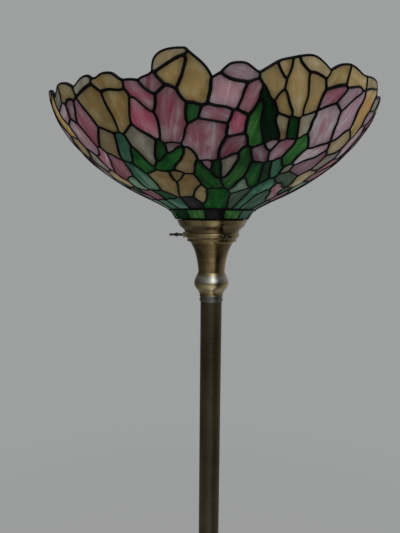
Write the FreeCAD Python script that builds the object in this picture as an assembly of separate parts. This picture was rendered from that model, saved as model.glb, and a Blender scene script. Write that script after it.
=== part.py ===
import FreeCAD, Part
import math
import os
from FreeCAD import Vector

# Torchiere floor lamp: leaded-glass tulip bowl on a brass fitter, turned neck and pole,
# weighted base, cord with a foot switch and a plug.
# Millimetres. Origin on the floor at the middle of the base, +Z up the pole, -Y the front.

# ---- driving dimensions -------------------------------------------------------------------
CUP_TOP = 1630.0          # height of the fitter cup's lip above the floor

LEAD_THICK = 4.4          # solder bead, outside to inside
LEAD_HALF = 1.25          # half the width of a lead line
NARROWER_LEAD = (1.0, 0.8, 0.6, 0.4, 0.2)   # half widths for panes too small for LEAD_HALF
GLASS_THICK = 3.0
GLASS_GAP = 0.02          # glass edge to lead
RIM_WIRE_R = 1.5
RIM_WIRE_GAP = 0.06
RIM_WIRE_SIDES = 8
BAND_PANES = 14
BAND_TURN = 3.5           # degrees the band is turned from the front
BAND_LOW = 7.6            # foot and head of the band of small panes, along the profile
BAND_HIGH = 21.18

COLLAR_R = 28.0           # shade collar, a 2 1/4 inch fitter
COLLAR_WALL = 1.1
SCREW_Z = CUP_TOP - 17.7  # thumbscrews
SCREW_R = 1.6
SCREW_ANGLES = {"left": -99.0, "right": 21.0, "rear": 141.0}   # degrees round from the front
BUSH_R = 2.9

ROD_R = 4.95              # hollow threaded rod
ROD_BORE_R = 3.4
NUT_BORE_R = 5.0          # bore of locknuts and pole bushes
CLEAR_R = 5.15            # clearance hole for the rod in washers, cup and spacer

POLE_R = 12.7             # one-inch pole
POLE_WALL = 1.2
POLE_HEAD = CUP_TOP - 92.3
POLE_JOINTS = (1060.0, 590.0)
POLE_FOOT = 118.0
JOINT_GAP = 0.05          # pole end to joint

BASE_R = 135.0
FELT_THICK = 3.0
BASE_FLOOR = 3.1          # underside of shell and weight, just above the felt

FLEX_R = 2.6              # cord
CORD_EXIT_Z = 9.0         # cord's height where it leaves the back of the base
CORD_BEND_R = 8.2         # bend under the pole
SWITCH_AT = Vector(-196.0, 128.0, 0.0)      # floor under the middle of the foot switch
SWITCH_CORD_Z = 10.5
PLUG_AT = Vector(-120.0, -236.0, 0.0)       # floor under the middle of the plug
PLUG_Z = 11.5

# Bowl's middle surface: height above the cup's lip, radius
BOWL_PROFILE = ((-4.0, 35.4), (4.0, 42.0), (10.0, 45.7), (13.5, 50.0), (18.0, 58.0),
                (25.0, 72.3), (34.0, 90.9), (48.0, 113.8), (65.0, 136.0), (85.0, 154.2),
                (105.0, 166.6), (125.0, 172.4), (140.0, 174.4))
PROFILE_STEPS = 1440      # samples the profile is measured along
SLOPE_SPAN = 12           # samples to each side used for the slope

NEXT, PREV = 1000, -1000  # added to a corner that belongs to the next or previous third

# One third of the shade's pattern. Corners are (degrees round from the front, mm along the
# profile from its foot); panes are colour and corner numbers. The pattern repeats three times.
SHADE_POINTS = (
    (-43.75, 21.5), (56.5, 21.5), (-27.25, 21.5), (-45.75, 41.5), (-11.25, 21.5),
    (-27.69, 46.25), (18.75, 21.5), (3.75, 21.5), (-10, 32.25), (24, 21.5), (13.25, 53.25),
    (16.04, 27.83), (35, 21.5), (25.75, 53.25), (39.75, 65.75), (34.82, 52.11), (37.48, 62.3),
    (59, 43.25), (58.43, 29.89), (-3.25, 62.25), (-5.51, 38.76), (-15.25, 46.75),
    (-40.43, 43.61), (-34.81, 42.9), (-46.25, 64), (-44.64, 55.75), (52.09, 45.43),
    (45.42, 57.1), (59, 54.25), (-20.25, 75.25), (-25.41, 52.58), (-36.75, 61.75), (-6.5, 69.25),
    (-10.65, 61.54), (10.25, 61.75), (24.12, 65.75), (52.38, 71.5), (52.72, 61.68),
    (-57.88, 70.75), (60.19, 64.87), (-39.93, 61.04), (-34.25, 88.25), (-34.57, 72.89),
    (6.25, 64.75), (15.75, 81.75), (-51.14, 62.97), (-45.75, 87.25), (-47.21, 71.17),
    (4.38, 79.75), (17.53, 79.31), (27, 73.75), (39, 75.25), (-9.25, 86.25), (47.66, 71.08),
    (42.92, 76.1), (-56.25, 82.25), (48.75, 89.75), (52.16, 79.07), (22.5, 103.5),
    (25.23, 77.71), (30.5, 81.75), (-21, 90.25), (-21.21, 79.33), (-13.75, 86.75),
    (-17.83, 77.4), (33.5, 83.75), (-1.25, 90.75), (0.81, 82.88), (9.5, 111.75), (7.08, 84.1),
    (9.39, 97.96), (10.21, 105.75), (2.5, 104.5), (16.5, 102.75), (25, 104.25), (-57.75, 97.25),
    (-58.67, 89.38), (-51.64, 86.02), (34, 89.75), (-7.38, 99.52), (-17.75, 91.75), (-41, 109),
    (-43.01, 95.76), (-26.75, 93.25), (-37.25, 103.75), (33.25, 98.75), (38.5, 94.25),
    (52.75, 100.75), (-5.62, 103.5), (-2.89, 93.47), (-0.25, 102.75), (-10.88, 120.5),
    (-16.64, 96.54), (-11.51, 110.26), (-26.75, 97.75), (37.75, 102.75), (-59.5, 101.25),
    (-46.75, 119.75), (-50.19, 110.14), (-24, 103.75), (-31, 122.25), (-28.03, 102.2),
    (-29.66, 116.93), (28.25, 109.75), (35.75, 104.25), (52, 119.75), (-57, 119.75),
    (13.75, 117.75), (49, 124.25), (40.96, 108.83), (45.66, 114.93), (-32.49, 119.22),
    (-17.5, 112.75), (-22.11, 104.47), (-19.75, 126.25), (-23.57, 108.39), (-7.7, 114.85),
    (-9.11, 118.02), (37, 122.75), (35.57, 111.61), (4.5, 127.75), (2.36, 115.03),
    (21.5, 115.75), (-35.25, 136.75), (-39.91, 116.57), (29.5, 129.75), (29.67, 123.87),
    (12, 119.75), (10.51, 116.72), (-12.82, 117.88), (-17, 123.25), (17.75, 123.5), (22.88, 127),
    (-49.75, 128.25), (-52.76, 121.28), (59.5, 130.25), (-58.11, 125.53), (-48, 127.25),
    (10.25, 131.75), (11.59, 125.92), (56.89, 123.96), (-31.25, 134.75), (-14.29, 123.67),
    (-7.75, 139.25), (39.48, 123.79), (32.5, 136.25), (35.05, 129.85), (-18.25, 126.75),
    (20.44, 127.38), (12.5, 158.75), (14.65, 140.06), (13.93, 156.11), (46.5, 132.5),
    (-26.25, 142.75), (25.5, 129.25), (-17.5, 150.25), (-17.02, 140.29), (-40.75, 144.75),
    (4.25, 139.25), (19, 149.75), (22.16, 131.58), (18.87, 144), (-51.25, 153.75),
    (-50.29, 142.68), (23.5, 147.75), (26.88, 149), (59.5, 141.75), (10.25, 146.75),
    (52.75, 148.75), (49.14, 137.98), (50.61, 144.53), (41.5, 159.25), (43.47, 145.19),
    (-32.75, 137.25), (31.5, 155.5), (-32.5, 170.75), (-32, 150.25), (-4.5, 143.75),
    (-7.25, 156.25), (-8.11, 143.12), (6, 150.5), (-59, 156.25), (60.68, 146.39),
    (-23.5, 163.25), (-3.25, 153.75), (-43.88, 172.25), (-42.4, 161.44), (18.75, 167.25),
    (23.08, 152.9), (50.07, 164.89), (50.23, 173.71), (16.75, 158.75), (-19.04, 152.68),
    (-21.83, 161.59), (-15.75, 163.25), (-1.75, 155.25), (25, 180.75), (26.39, 165.03),
    (8.75, 170.25), (-54.5, 159.75), (-46, 170.75), (-0.5, 172.25), (37.75, 164.25),
    (31.75, 171.75), (31.27, 167.71), (59.5, 170.25), (-61.13, 164.47), (-9.75, 166.25),
    (-9.08, 161.58), (13, 168.25), (47.75, 179.25), (43.95, 168.85), (-52, 171.25),
    (-24.5, 169.75), (-19.75, 173.75), (-17.65, 166.46), (-12.5, 169.25), (39.25, 177.5),
    (-7.3, 179.85), (18.75, 174.25), (-24.25, 175.25), (1.75, 175.75), (4.69, 171.62),
    (59.25, 184.25), (59.01, 173.77), (-54.25, 174.25), (-48.76, 173.23), (-35.5, 177.75),
    (30.5, 178.75), (-6.25, 189.75), (-2.11, 179.53), (-44.25, 180.25), (11.5, 176.75),
    (-15.5, 178.75), (-53.5, 187.25), (-53.04, 181.33), (15.5, 184.25), (19.5, 188.25),
    (-35, 181.25), (-28.36, 182.02), (3.87, 181), (5.76, 182.23), (7.98, 181.71),
    (44.82, 180.61), (38.5, 192.75), (-14.73, 186.21), (-12.64, 190.53), (-7.76, 191.73),
    (26.89, 181.03), (31.5, 184.75), (49.25, 180.75), (-37.98, 184.21), (-36.02, 183.7),
    (-48.04, 185.68), (-51.32, 187.61), (21.25, 189.75), (22.21, 185.68), (47.5, 190.25),
    (58, 187.25), (52.94, 184.38), (61.38, 182.02), (26.05, 191.34), (34.42, 189.9),
    (56.14, 191.02), (53.93, 192.11), (61.44, 21.5), (66.38, 21.5), (71.31, 21.5),
    (-38.25, 21.5), (-32.75, 21.5), (-21.92, 21.5), (-16.58, 21.5), (-6.25, 21.5), (-1.25, 21.5),
    (8.75, 21.5), (13.75, 21.5), (29.5, 21.5), (40.38, 21.5), (45.75, 21.5), (51.12, 21.5),
)
SHADE_PANES = (
    ("T", (PREV + 1, PREV + 265, PREV + 266, PREV + 267, 0, 3, PREV + 17, PREV + 18)),
    ("T", (0, 268, 269, 2, 5, 23, 22, 3)),
    ("U", (2, 270, 271, 4, 8, 21, 5)),
    ("B", (4, 272, 273, 7, 274, 275, 6, 11, 10, 34, 43, 19, 20, 8)),
    ("Y", (6, 9, 13, 35, 10, 11)),
    ("T", (9, 276, 12, 15, 16, 14, 51, 65, 60, 50, 35, 13)),
    ("T", (12, 277, 278, 279, 1, 18, 17, 26, 27, 14, 16, 15)),
    ("C", (8, 20, 19, 32, 33, 21)),
    ("K", (3, 22, 23, 5, 31, 40, 24, 25)),
    ("P", (PREV + 17, 3, 25, 24, 45, 38, PREV + 39, PREV + 28)),
    ("P", (26, 17, 28, 37, 36, 53, 54, 51, 14, 27)),
    ("A", (5, 21, 33, 32, 52, 63, 64, 29, 30)),
    ("A", (5, 30, 29, 62, 61, 83, 41, 42, 31)),
    ("Y", (34, 10, 35, 49, 44)),
    ("G", (37, 28, 39, NEXT + 38, 36)),
    ("T", (40, 31, 42, 41, 84, 81, 82, 46, 47, 24)),
    ("G", (43, 34, 44, 73, 107, 127, 128, 68, 71, 70, 69, 48)),
    ("T", (32, 19, 43, 48, 67, 66, 89, 88, 79, 52)),
    ("Y", (45, 24, 47, 46, 77, 55, 38)),
    ("G", (49, 35, 50, 59, 58, 73, 44)),
    ("Y", (53, 36, 57, 56, 86, 78, 65, 51, 54)),
    ("M", (36, NEXT + 38, NEXT + 55, NEXT + 76, NEXT + 75, NEXT + 96, 87, 56, 57)),
    ("K", (59, 50, 60, 74, 58)),
    ("A", (62, 29, 64, 63, 80, 61)),
    ("G", (67, 48, 72, 90, 66)),
    ("C", (48, 69, 70, 71, 68, 72)),
    ("T", (60, 65, 78, 85, 103, 74)),
    ("R", (76, 55, 77, 46, 82, 81, 97, 98, 75)),
    ("M", (63, 52, 79, 88, 116, 117, 91, 93, 92, 80)),
    ("G", (41, 83, 94, 101, 102, 100, 111, 84)),
    ("C", (85, 78, 86, 95, 104)),
    ("P", (86, 56, 87, 105, 108, 110, 109, 95)),
    ("G", (83, 61, 80, 92, 93, 91, 129, 112, 113, 99, 94)),
    ("P", (89, 66, 90, 88)),
    ("P", (96, 75, 98, 97, 137, 133, 134, 106)),
    ("C", (94, 99, 115, 114, 153, 141, 100, 102, 101)),
    ("B", (103, 85, 104, 119, 118, 146, 145, 125, 126)),
    ("C", (87, NEXT + 96, NEXT + 106, NEXT + 136, 135, 140, 105)),
    ("P", (73, 58, 122, 131, 107)),
    ("P", (88, 90, 72, 121, 120, 158, 177, 143, 91, 117, 116)),
    ("P", (104, 95, 109, 110, 108, 152, 144, 118, 119)),
    ("T", (81, 84, 111, 100, 141, 173, 123, 124)),
    ("G", (99, 113, 112, 130, 147, 114, 115)),
    ("P", (58, 74, 103, 126, 125, 154, 132, 122)),
    ("P", (72, 68, 128, 127, 139, 138, 120, 121)),
    ("M", (97, 81, 124, 123, 157, 137)),
    ("P", (112, 129, 91, 142, 130)),
    ("P", (131, 122, 132, 148)),
    ("B", (127, 107, 131, 150, 151, 149, 167, 138, 139)),
    ("P", (106, 134, 133, 163, 162, 199, 181, PREV + 182, PREV + 166, PREV + 135, 136)),
    ("M", (105, 140, 135, 166, 168, 170, 169, 152, 108)),
    ("P", (142, 91, 143, 179, 178, 208, 207, 216, 194, 155, 156, 147, 130)),
    ("P", (118, 144, 152, 172, 171, 202, 174, 145, 146)),
    ("K", (131, 148, 132, 160, 161, 159, 191, 209, 149, 151, 150)),
    ("P", (114, 147, 156, 155, 192, 193, 183, 153)),
    ("M", (132, 154, 164, 159, 161, 160)),
    ("P", (133, 137, 157, 186, 185, 200, 162, 163)),
    ("P", (120, 138, 167, 180, 158)),
    ("T", (154, 125, 165, 164)),
    ("C", (125, 145, 174, 165)),
    ("L", (152, 169, 170, 168, 189, 190, 250, 210, 211, 171, 172)),
    ("A", (173, 141, 153, 183, 213, 175, 176)),
    ("A", (157, 123, 173, 176, 175, 227, 185, 186)),
    ("G", (143, 177, 184, 178, 179)),
    ("P", (177, 158, 180, 195, 184)),
    ("A", (168, 166, 182, NEXT + 181, NEXT + 206, 205, 224, 223, 258, 259, 250, 190, 189)),
    ("P", (180, 167, 149, 209, 232, 198)),
    ("A", (159, 164, 188, 187, 191)),
    ("A", (164, 165, 197, 196, 256, 255, 237, 219, 187, 188)),
    ("P", (192, 155, 194, 215, 214, 220, 213, 183, 193)),
    ("P", (195, 180, 198, 222, 221, 201)),
    ("A", (165, 174, 204, 203, 228, 248, 196, 197)),
    ("P", (199, 162, 200, 226, 212)),
    ("A", (178, 184, 195, 201, 230, 229, 218, 207, 208)),
    ("R", (174, 202, 217, 203, 204)),
    ("L", (206, 181, 199, 212, 225, PREV + 205)),
    ("A", (209, 191, 187, 219, 236, 232)),
    ("P", (202, 171, 211, 210, 243, 217)),
    ("P", (215, 194, 216, 233, 214)),
    ("A", (216, 207, 218, 229, 233)),
    ("A", (175, 213, 220, 239, 238, 227)),
    ("P", (222, 198, 232, 242, 241, 240, 221)),
    ("C", (PREV + 224, PREV + 205, 225, 235, 234, PREV + 260, PREV + 223)),
    ("A", (226, 200, 185, 231, 253, 254, 234, 235, 225, 212)),
    ("A", (203, 217, 244, 262, 249, 228)),
    ("C", (185, 227, 238, 252, 251, 231)),
    ("A", (236, 219, 237)),
    ("A", (217, 243, 210, 250, 257, 244)),
    ("A", (233, 229, 247, 246, 245)),
    ("A", (248, 228, 249, 261, 255, 256, 196)),
    ("M", (257, 250, 259, 258, 263, 264)),
)
# Pieces of glass and their colour letters: amber and honey, cream, pink, rose and lilac,
# leaf greens, dark, teal and sage
GLASS_COLOURS = {"glass_amber": "AM", "glass_cream": "C", "glass_pink": "P",
                 "glass_rose": "RL", "glass_leaf": "GB", "glass_dark": "KU",
                 "glass_teal": "TY"}

X_AXIS = Vector(1, 0, 0)
Y_AXIS = Vector(0, 1, 0)
Z_AXIS = Vector(0, 0, 1)
ORIGIN = Vector(0, 0, 0)


# ---- helpers --------------------------------------------------------------------------------
def export(name, *shapes):
    """Write the solids of the shapes as one STEP file."""
    solids = [solid for shape in shapes for solid in shape.Solids]
    piece = solids[0] if len(solids) == 1 else Part.makeCompound(solids)
    piece.exportStep("parts/%s.step" % name)


def unit(vector):
    result = Vector(vector)
    result.normalize()
    return result


def up(height):
    return Vector(0, 0, height)


def cyl(radius, z0, z1):
    return Part.makeCylinder(radius, z1 - z0, up(z0))


def tube(radius, bore, z0, z1):
    return cyl(radius, z0, z1).cut(cyl(bore, z0 - 1, z1 + 1))


def threaded_tube(z0, z1):
    return tube(ROD_R, ROD_BORE_R, z0, z1)


def hex_nut(z, height):
    """Nut on the threaded rod; corner radius 8.1."""
    corners = [Vector(8.1 * math.cos(math.radians(60 * k)),
                      8.1 * math.sin(math.radians(60 * k)), z) for k in range(7)]
    nut = Part.Face(Part.makePolygon(corners)).extrude(up(height))
    return nut.cut(cyl(NUT_BORE_R, z - 1, z + 6))


# Outlines are (radius, height) points; lift is the height of their zero above the floor.
def outline_points(outline, lift):
    return [Vector(r, 0, lift + z) for r, z in outline]


def lines(outline, lift=0.0):
    points = outline_points(outline, lift)
    return [Part.makeLine(a, b) for a, b in zip(points[:-1], points[1:])]


def smooth(outline, lift=0.0):
    curve = Part.BSplineCurve()
    curve.interpolate(outline_points(outline, lift))
    return curve.toShape()


def spin(edges):
    """Solid of revolution about Z of a closed run of edges."""
    return Part.Face(Part.Wire(edges)).revolve(ORIGIN, Z_AXIS, 360)


def revolve(outline, lift=0.0):
    """Solid of revolution about Z of a straight-lined outline, closed here."""
    points = outline_points(outline, lift)
    return Part.Face(Part.makePolygon(points + points[:1])).revolve(ORIGIN, Z_AXIS, 360)


def smooth_turning(outer, inner, lift=0.0):
    """Turned piece: a smooth outer curve closed by a straight-lined inner outline."""
    return spin([smooth(outer, lift)] + lines([outer[-1]] + inner + [outer[0]], lift))


def add_triangle(faces, a, b, c):
    """Add a triangle, unless it has no area."""
    if (b - a).cross(c - a).Length > 1e-4:
        faces.append(Part.Face(Part.makePolygon([a, b, c, a])))


def skin(faces, ring_pairs):
    """Add the facets between each pair of neighbouring rings."""
    for first, second in ring_pairs:
        for k in range(len(first)):
            m = (k + 1) % len(first)
            add_triangle(faces, first[k], first[m], second[m])
            add_triangle(faces, first[k], second[m], second[k])


def solid_from(faces):
    shell = Part.Shell(faces)
    shell.sewShape()
    # sewing may leave the shell wrapped in another shape
    if shell.ShapeType != "Shell":
        shell = shell.Shells[0]
    solid = Part.Solid(shell)
    if solid.Volume < 0:
        solid.reverse()
    return solid


# ---- bowl surface -------------------------------------------------------------------------
def monotone_cubic(xs, ys):
    """Piecewise cubic through the points that doesn't overshoot them."""
    n = len(xs)
    h = [xs[i + 1] - xs[i] for i in range(n - 1)]
    slope = [(ys[i + 1] - ys[i]) / h[i] for i in range(n - 1)]
    tangent = [0.0] * n
    for i in range(1, n - 1):
        if slope[i - 1] * slope[i] > 0:
            w1 = 2 * h[i] + h[i - 1]
            w2 = h[i] + 2 * h[i - 1]
            tangent[i] = (w1 + w2) / (w1 / slope[i - 1] + w2 / slope[i])
    tangent[0] = max(0.0, ((2 * h[0] + h[1]) * slope[0] - h[0] * slope[1]) / (h[0] + h[1]))
    tangent[-1] = max(0.0, ((2 * h[-1] + h[-2]) * slope[-1] - h[-1] * slope[-2])
                      / (h[-1] + h[-2]))

    def value(x):
        i = 0
        while i < n - 2 and x > xs[i + 1]:
            i += 1
        t = (x - xs[i]) / h[i]
        return ((2 * t**3 - 3 * t * t + 1) * ys[i]
                + (t**3 - 2 * t * t + t) * h[i] * tangent[i]
                + (-2 * t**3 + 3 * t * t) * ys[i + 1]
                + (t**3 - t * t) * h[i] * tangent[i + 1])
    return value


radius_at = monotone_cubic(*zip(*BOWL_PROFILE))
PROFILE_FOOT = BOWL_PROFILE[0][0]
PROFILE_RISE = BOWL_PROFILE[-1][0] - PROFILE_FOOT
profile_z = [PROFILE_FOOT + PROFILE_RISE * i / PROFILE_STEPS for i in range(PROFILE_STEPS + 1)]
profile_r = [radius_at(z) for z in profile_z]
profile_length = [0.0]
for i in range(PROFILE_STEPS):
    profile_length.append(profile_length[-1] + math.hypot(profile_z[i + 1] - profile_z[i],
                                                          profile_r[i + 1] - profile_r[i]))


def profile_at(s):
    """Radius, height and slope direction (dr, dz) at s mm along the profile."""
    lo, hi = 0, PROFILE_STEPS
    while hi - lo > 1:
        mid = (lo + hi) // 2
        if profile_length[mid] <= s:
            lo = mid
        else:
            hi = mid
    t = (s - profile_length[lo]) / (profile_length[hi] - profile_length[lo])
    r = profile_r[lo] + t * (profile_r[hi] - profile_r[lo])
    z = profile_z[lo] + t * (profile_z[hi] - profile_z[lo])
    below = max(0, lo - SLOPE_SPAN)
    above = min(PROFILE_STEPS, hi + SLOPE_SPAN)
    dr = profile_r[above] - profile_r[below]
    dz = profile_z[above] - profile_z[below]
    length = math.hypot(dr, dz)
    return r, z, dr / length, dz / length


def bowl_point(deg, s, off=0.0):
    """Point on the bowl, pushed outward by off along the surface normal."""
    r, z, dr, dz = profile_at(s)
    r, z = r + off * dz, z - off * dr
    a = math.radians(deg)
    return Vector(r * math.sin(a), -r * math.cos(a), CUP_TOP + z)


def bowl_normal(deg, s):
    _, _, dr, dz = profile_at(s)
    a = math.radians(deg)
    return Vector(dz * math.sin(a), -dz * math.cos(a), -dr)


# ---- leaded panes -----------------------------------------------------------------------------
def crossing(a, b, c, d):
    """True when segments ab and cd cross."""
    def side(p, q, r):
        return (q[0] - p[0]) * (r[1] - p[1]) - (q[1] - p[1]) * (r[0] - p[0])
    return side(a, b, c) * side(a, b, d) < 0 and side(c, d, a) * side(c, d, b) < 0


def inset(poly, distance):
    """Polygon moved inward by distance, same corner count; None when it folds over."""
    n = len(poly)
    moved = []
    for i in range(n):
        p0, p1, p2 = poly[i - 1], poly[i], poly[(i + 1) % n]
        ax, ay = p1[0] - p0[0], p1[1] - p0[1]
        bx, by = p2[0] - p1[0], p2[1] - p1[1]
        la, lb = math.hypot(ax, ay), math.hypot(bx, by)
        ax, ay, bx, by = ax / la, ay / la, bx / lb, by / lb
        k = max(0.12, 1 + ax * bx + ay * by)      # limits the mitre at sharp corners
        moved.append((p1[0] - distance * (ay + by) / k, p1[1] + distance * (ax + bx) / k))
    for i in range(n):
        j = (i + 1) % n
        a, b, u, v = moved[i], moved[j], poly[i], poly[j]
        if (b[0] - a[0]) * (v[0] - u[0]) + (b[1] - a[1]) * (v[1] - u[1]) <= 0.02:
            return None
    for i in range(n):
        for j in range(i + 2, n):
            if i == 0 and j == n - 1:
                continue
            if crossing(moved[i], moved[(i + 1) % n], moved[j], moved[(j + 1) % n]):
                return None
    return moved


def pane(corners):
    """corners: (deg, s) pairs, anticlockwise seen from outside. Returns the corners of the
    opening outside and inside, the corners of the glass's inner face and the pane's normal."""
    mid = [bowl_point(deg, s) for deg, s in corners]
    n = len(mid)
    centre = Vector(0, 0, 0)
    for point in mid:
        centre = centre + point * (1.0 / n)
    normal = Vector(0, 0, 0)
    for i in range(n):
        normal = normal + (mid[i] - centre).cross(mid[(i + 1) % n] - centre)
    normal = unit(normal)
    u = mid[1] - mid[0]
    u = unit(u - normal * u.dot(normal))
    v = normal.cross(u)
    poly = [((point - centre).dot(u), (point - centre).dot(v)) for point in mid]
    for half in (LEAD_HALF,) + NARROWER_LEAD:
        opening, glass = inset(poly, half), inset(poly, half + GLASS_GAP)
        if opening and glass:
            break

    def in_space(flat, off):
        return [centre + u * x + v * y + normal * off for x, y in flat]
    return (in_space(opening, LEAD_THICK / 2), in_space(opening, -LEAD_THICK / 2),
            in_space(glass, -GLASS_THICK / 2), normal)


def corner_key(deg, s):
    return round(deg % 360.0, 3) % 360.0, round(s, 3)


def lattice(panes):
    """Lead round every pane (a list of corners) as one closed solid, the glass of each pane,
    and the pairs of corner keys of the edges that only one pane uses."""
    faces = []
    glass = []
    open_edges = {}
    for corners in panes:
        hole_out, hole_in, glass_in, normal = pane(corners)
        outer = [bowl_point(deg, s, LEAD_THICK / 2) for deg, s in corners]
        inner = [bowl_point(deg, s, -LEAD_THICK / 2) for deg, s in corners]
        keys = [corner_key(deg, s) for deg, s in corners]
        for i in range(len(corners)):
            j = (i + 1) % len(corners)
            add_triangle(faces, outer[i], outer[j], hole_out[j])
            add_triangle(faces, outer[i], hole_out[j], hole_out[i])
            add_triangle(faces, inner[j], inner[i], hole_in[i])
            add_triangle(faces, inner[j], hole_in[i], hole_in[j])
            faces.append(Part.Face(Part.makePolygon(
                [hole_out[i], hole_out[j], hole_in[j], hole_in[i], hole_out[i]])))
            if (keys[j], keys[i]) in open_edges:
                open_edges.pop((keys[j], keys[i]))
            else:
                open_edges[keys[i], keys[j]] = (outer[i], outer[j], inner[i], inner[j])
        sheet = Part.Face(Part.makePolygon(glass_in + [glass_in[0]]))
        glass.append(sheet.extrude(normal * GLASS_THICK))
    for outer0, outer1, inner0, inner1 in open_edges.values():
        add_triangle(faces, outer1, outer0, inner0)
        add_triangle(faces, outer1, inner0, inner1)
    return solid_from(faces), glass, list(open_edges)


def shade_corner(number):
    """(deg, s) of a numbered corner, moved to the next or previous third as marked."""
    turn = 0.0
    if number >= NEXT:
        number, turn = number - NEXT, 120.0
    elif number < 0:
        number, turn = number - PREV, -120.0
    deg, s = SHADE_POINTS[number]
    return deg + turn, s


def band_pane(k):
    """Corners of one pane of the ring above the cup, in four steps along foot and head."""
    step = 360.0 / BAND_PANES
    start = BAND_TURN + step * (k - 0.5)
    degrees = [start + step * m / 4.0 for m in range(5)]
    return [(deg, BAND_LOW) for deg in degrees] + [(deg, BAND_HIGH) for deg in degrees[::-1]]


def rim_wire(open_edges):
    """Wire soldered along the scalloped rim."""
    following = {a: b for a, b in open_edges if a[1] > 120.0}
    start = min(following)
    loop = [start]
    while following[loop[-1]] != start:
        loop.append(following[loop[-1]])
    loop.reverse()                                # now round by increasing angle
    rings = []
    for i, key in enumerate(loop):
        point = bowl_point(*key)
        before = unit(point - bowl_point(*loop[i - 1]))
        after = unit(bowl_point(*loop[(i + 1) % len(loop)]) - point)
        tangent = unit(before + after)
        rise = tangent.cross(bowl_normal(*key))
        if rise.z < 0:
            rise = rise * -1
        rise = unit(rise)
        side = tangent.cross(rise)
        mitre = max(0.6, tangent.dot(after))
        centre = point + rise * ((RIM_WIRE_R + RIM_WIRE_GAP) / mitre)
        ring = []
        for k in range(RIM_WIRE_SIDES):
            a = 2 * math.pi * (k + 0.5) / RIM_WIRE_SIDES
            ring.append(centre + rise * (RIM_WIRE_R * math.cos(a) / mitre)
                        + side * (RIM_WIRE_R * math.sin(a)))
        rings.append(ring)
    faces = []
    skin(faces, zip(rings, rings[1:] + rings[:1]))
    return solid_from(faces)


os.makedirs("parts", exist_ok=True)

bowl_panes = []
pane_colours = []
for third in range(3):
    for colour, numbers in SHADE_PANES:
        bowl_panes.append([(deg + 120.0 * third, s) for deg, s in map(shade_corner, numbers)])
        pane_colours.append(colour)
lead, bowl_glass, bowl_edges = lattice(bowl_panes)
export("lead_came", lead)
for name, letters in GLASS_COLOURS.items():
    export(name, *[g for colour, g in zip(pane_colours, bowl_glass) if colour in letters])
export("rim_wire", rim_wire(bowl_edges))

band_lead, band_glass, _ = lattice([band_pane(k) for k in range(BAND_PANES)])
export("band_came", band_lead)
export("band_glass", *band_glass)

# ---- shade collar, fitter cup and thumbscrews: heights from the cup's lip --------------------
# spun collar that carries the shade: straight neck in the cup, flared under the band
COLLAR_BORE_R = COLLAR_R - COLLAR_WALL
export("shade_collar", revolve(
    [(COLLAR_R, -24.0), (COLLAR_R, -11.0), (29.4, -7.0), (34.6, -1.0), (37.3, 2.0),
     (37.3, 4.4), (36.3, 4.4), (36.3, 2.5), (33.8, -0.3), (28.2, -6.6),
     (COLLAR_BORE_R, -10.6), (COLLAR_BORE_R, -24.0)], CUP_TOP))


def direction_at(deg):
    a = math.radians(deg)
    return Vector(math.sin(a), -math.cos(a), 0)


def radial_cyl(deg, radius, length, start):
    """Cylinder at thumbscrew height, outward from start mm off the axis."""
    direction = direction_at(deg)
    return Part.makeCylinder(radius, length, direction * start + up(SCREW_Z), direction)


def fitter_cup():
    upper = [(40.75, -0.9), (39.5, -3.4), (38.5, -5.7), (36.75, -8.0), (33.9, -10.2),
             (32.2, -12.5), (31.2, -14.6)]
    lower = [upper[-1], (31.9, -15.6), (32.1, -17.7), (31.4, -19.6), (29.6, -21.2),
             (27.5, -23.4), (25.4, -26.0)]
    inside = [(24.6, -27.0), (CLEAR_R, -27.0), (CLEAR_R, -25.2), (23.4, -25.2),
              (29.0, -24.6), (29.0, -12.6), (31.0, -10.4), (35.6, -6.4), (38.0, -2.6),
              (39.3, 0.0), (40.4, 0.0)]
    cup = spin([smooth(upper, CUP_TOP), smooth(lower, CUP_TOP)]
               + lines([lower[-1]] + inside + [upper[0]], CUP_TOP))
    for deg in SCREW_ANGLES.values():
        cup = cup.cut(radial_cyl(deg, BUSH_R, length=8.0, start=26.0))
    return cup


def fitter_bush(deg):
    bush = radial_cyl(deg, BUSH_R, length=4.6, start=29.25)
    bush = bush.fuse(radial_cyl(deg, 3.6, length=1.0, start=33.0))
    bush = bush.cut(radial_cyl(deg, SCREW_R + 0.05, length=12.0, start=26.0))
    return bush.removeSplitter()


def thumbscrew(deg):
    """Shank, shoulder and a flat paddle lying level."""
    direction = direction_at(deg)
    tip_r = COLLAR_R + 0.06
    tip = direction * tip_r + up(SCREW_Z)
    screw = radial_cyl(deg, SCREW_R, length=16.0, start=tip_r)
    screw = screw.fuse(Part.makeCone(2.6, 2.0, 2.4, tip + direction * 13.4, direction))
    paddle = Part.makeBox(7.6, 8.4, 2.6, Vector(0, -4.2, -1.3))
    paddle = paddle.makeFillet(2.2, [e for e in paddle.Edges if e.BoundBox.ZLength > 2.5])
    paddle.rotate(ORIGIN, Z_AXIS, deg - 90.0)
    paddle.translate(tip + direction * 15.2)
    return screw.fuse(paddle).removeSplitter()


export("fitter_cup", fitter_cup())
export("fitter_bushes", *[fitter_bush(deg) for deg in SCREW_ANGLES.values()])
for side, deg in SCREW_ANGLES.items():
    export("thumbscrew_" + side, thumbscrew(deg))

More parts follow.
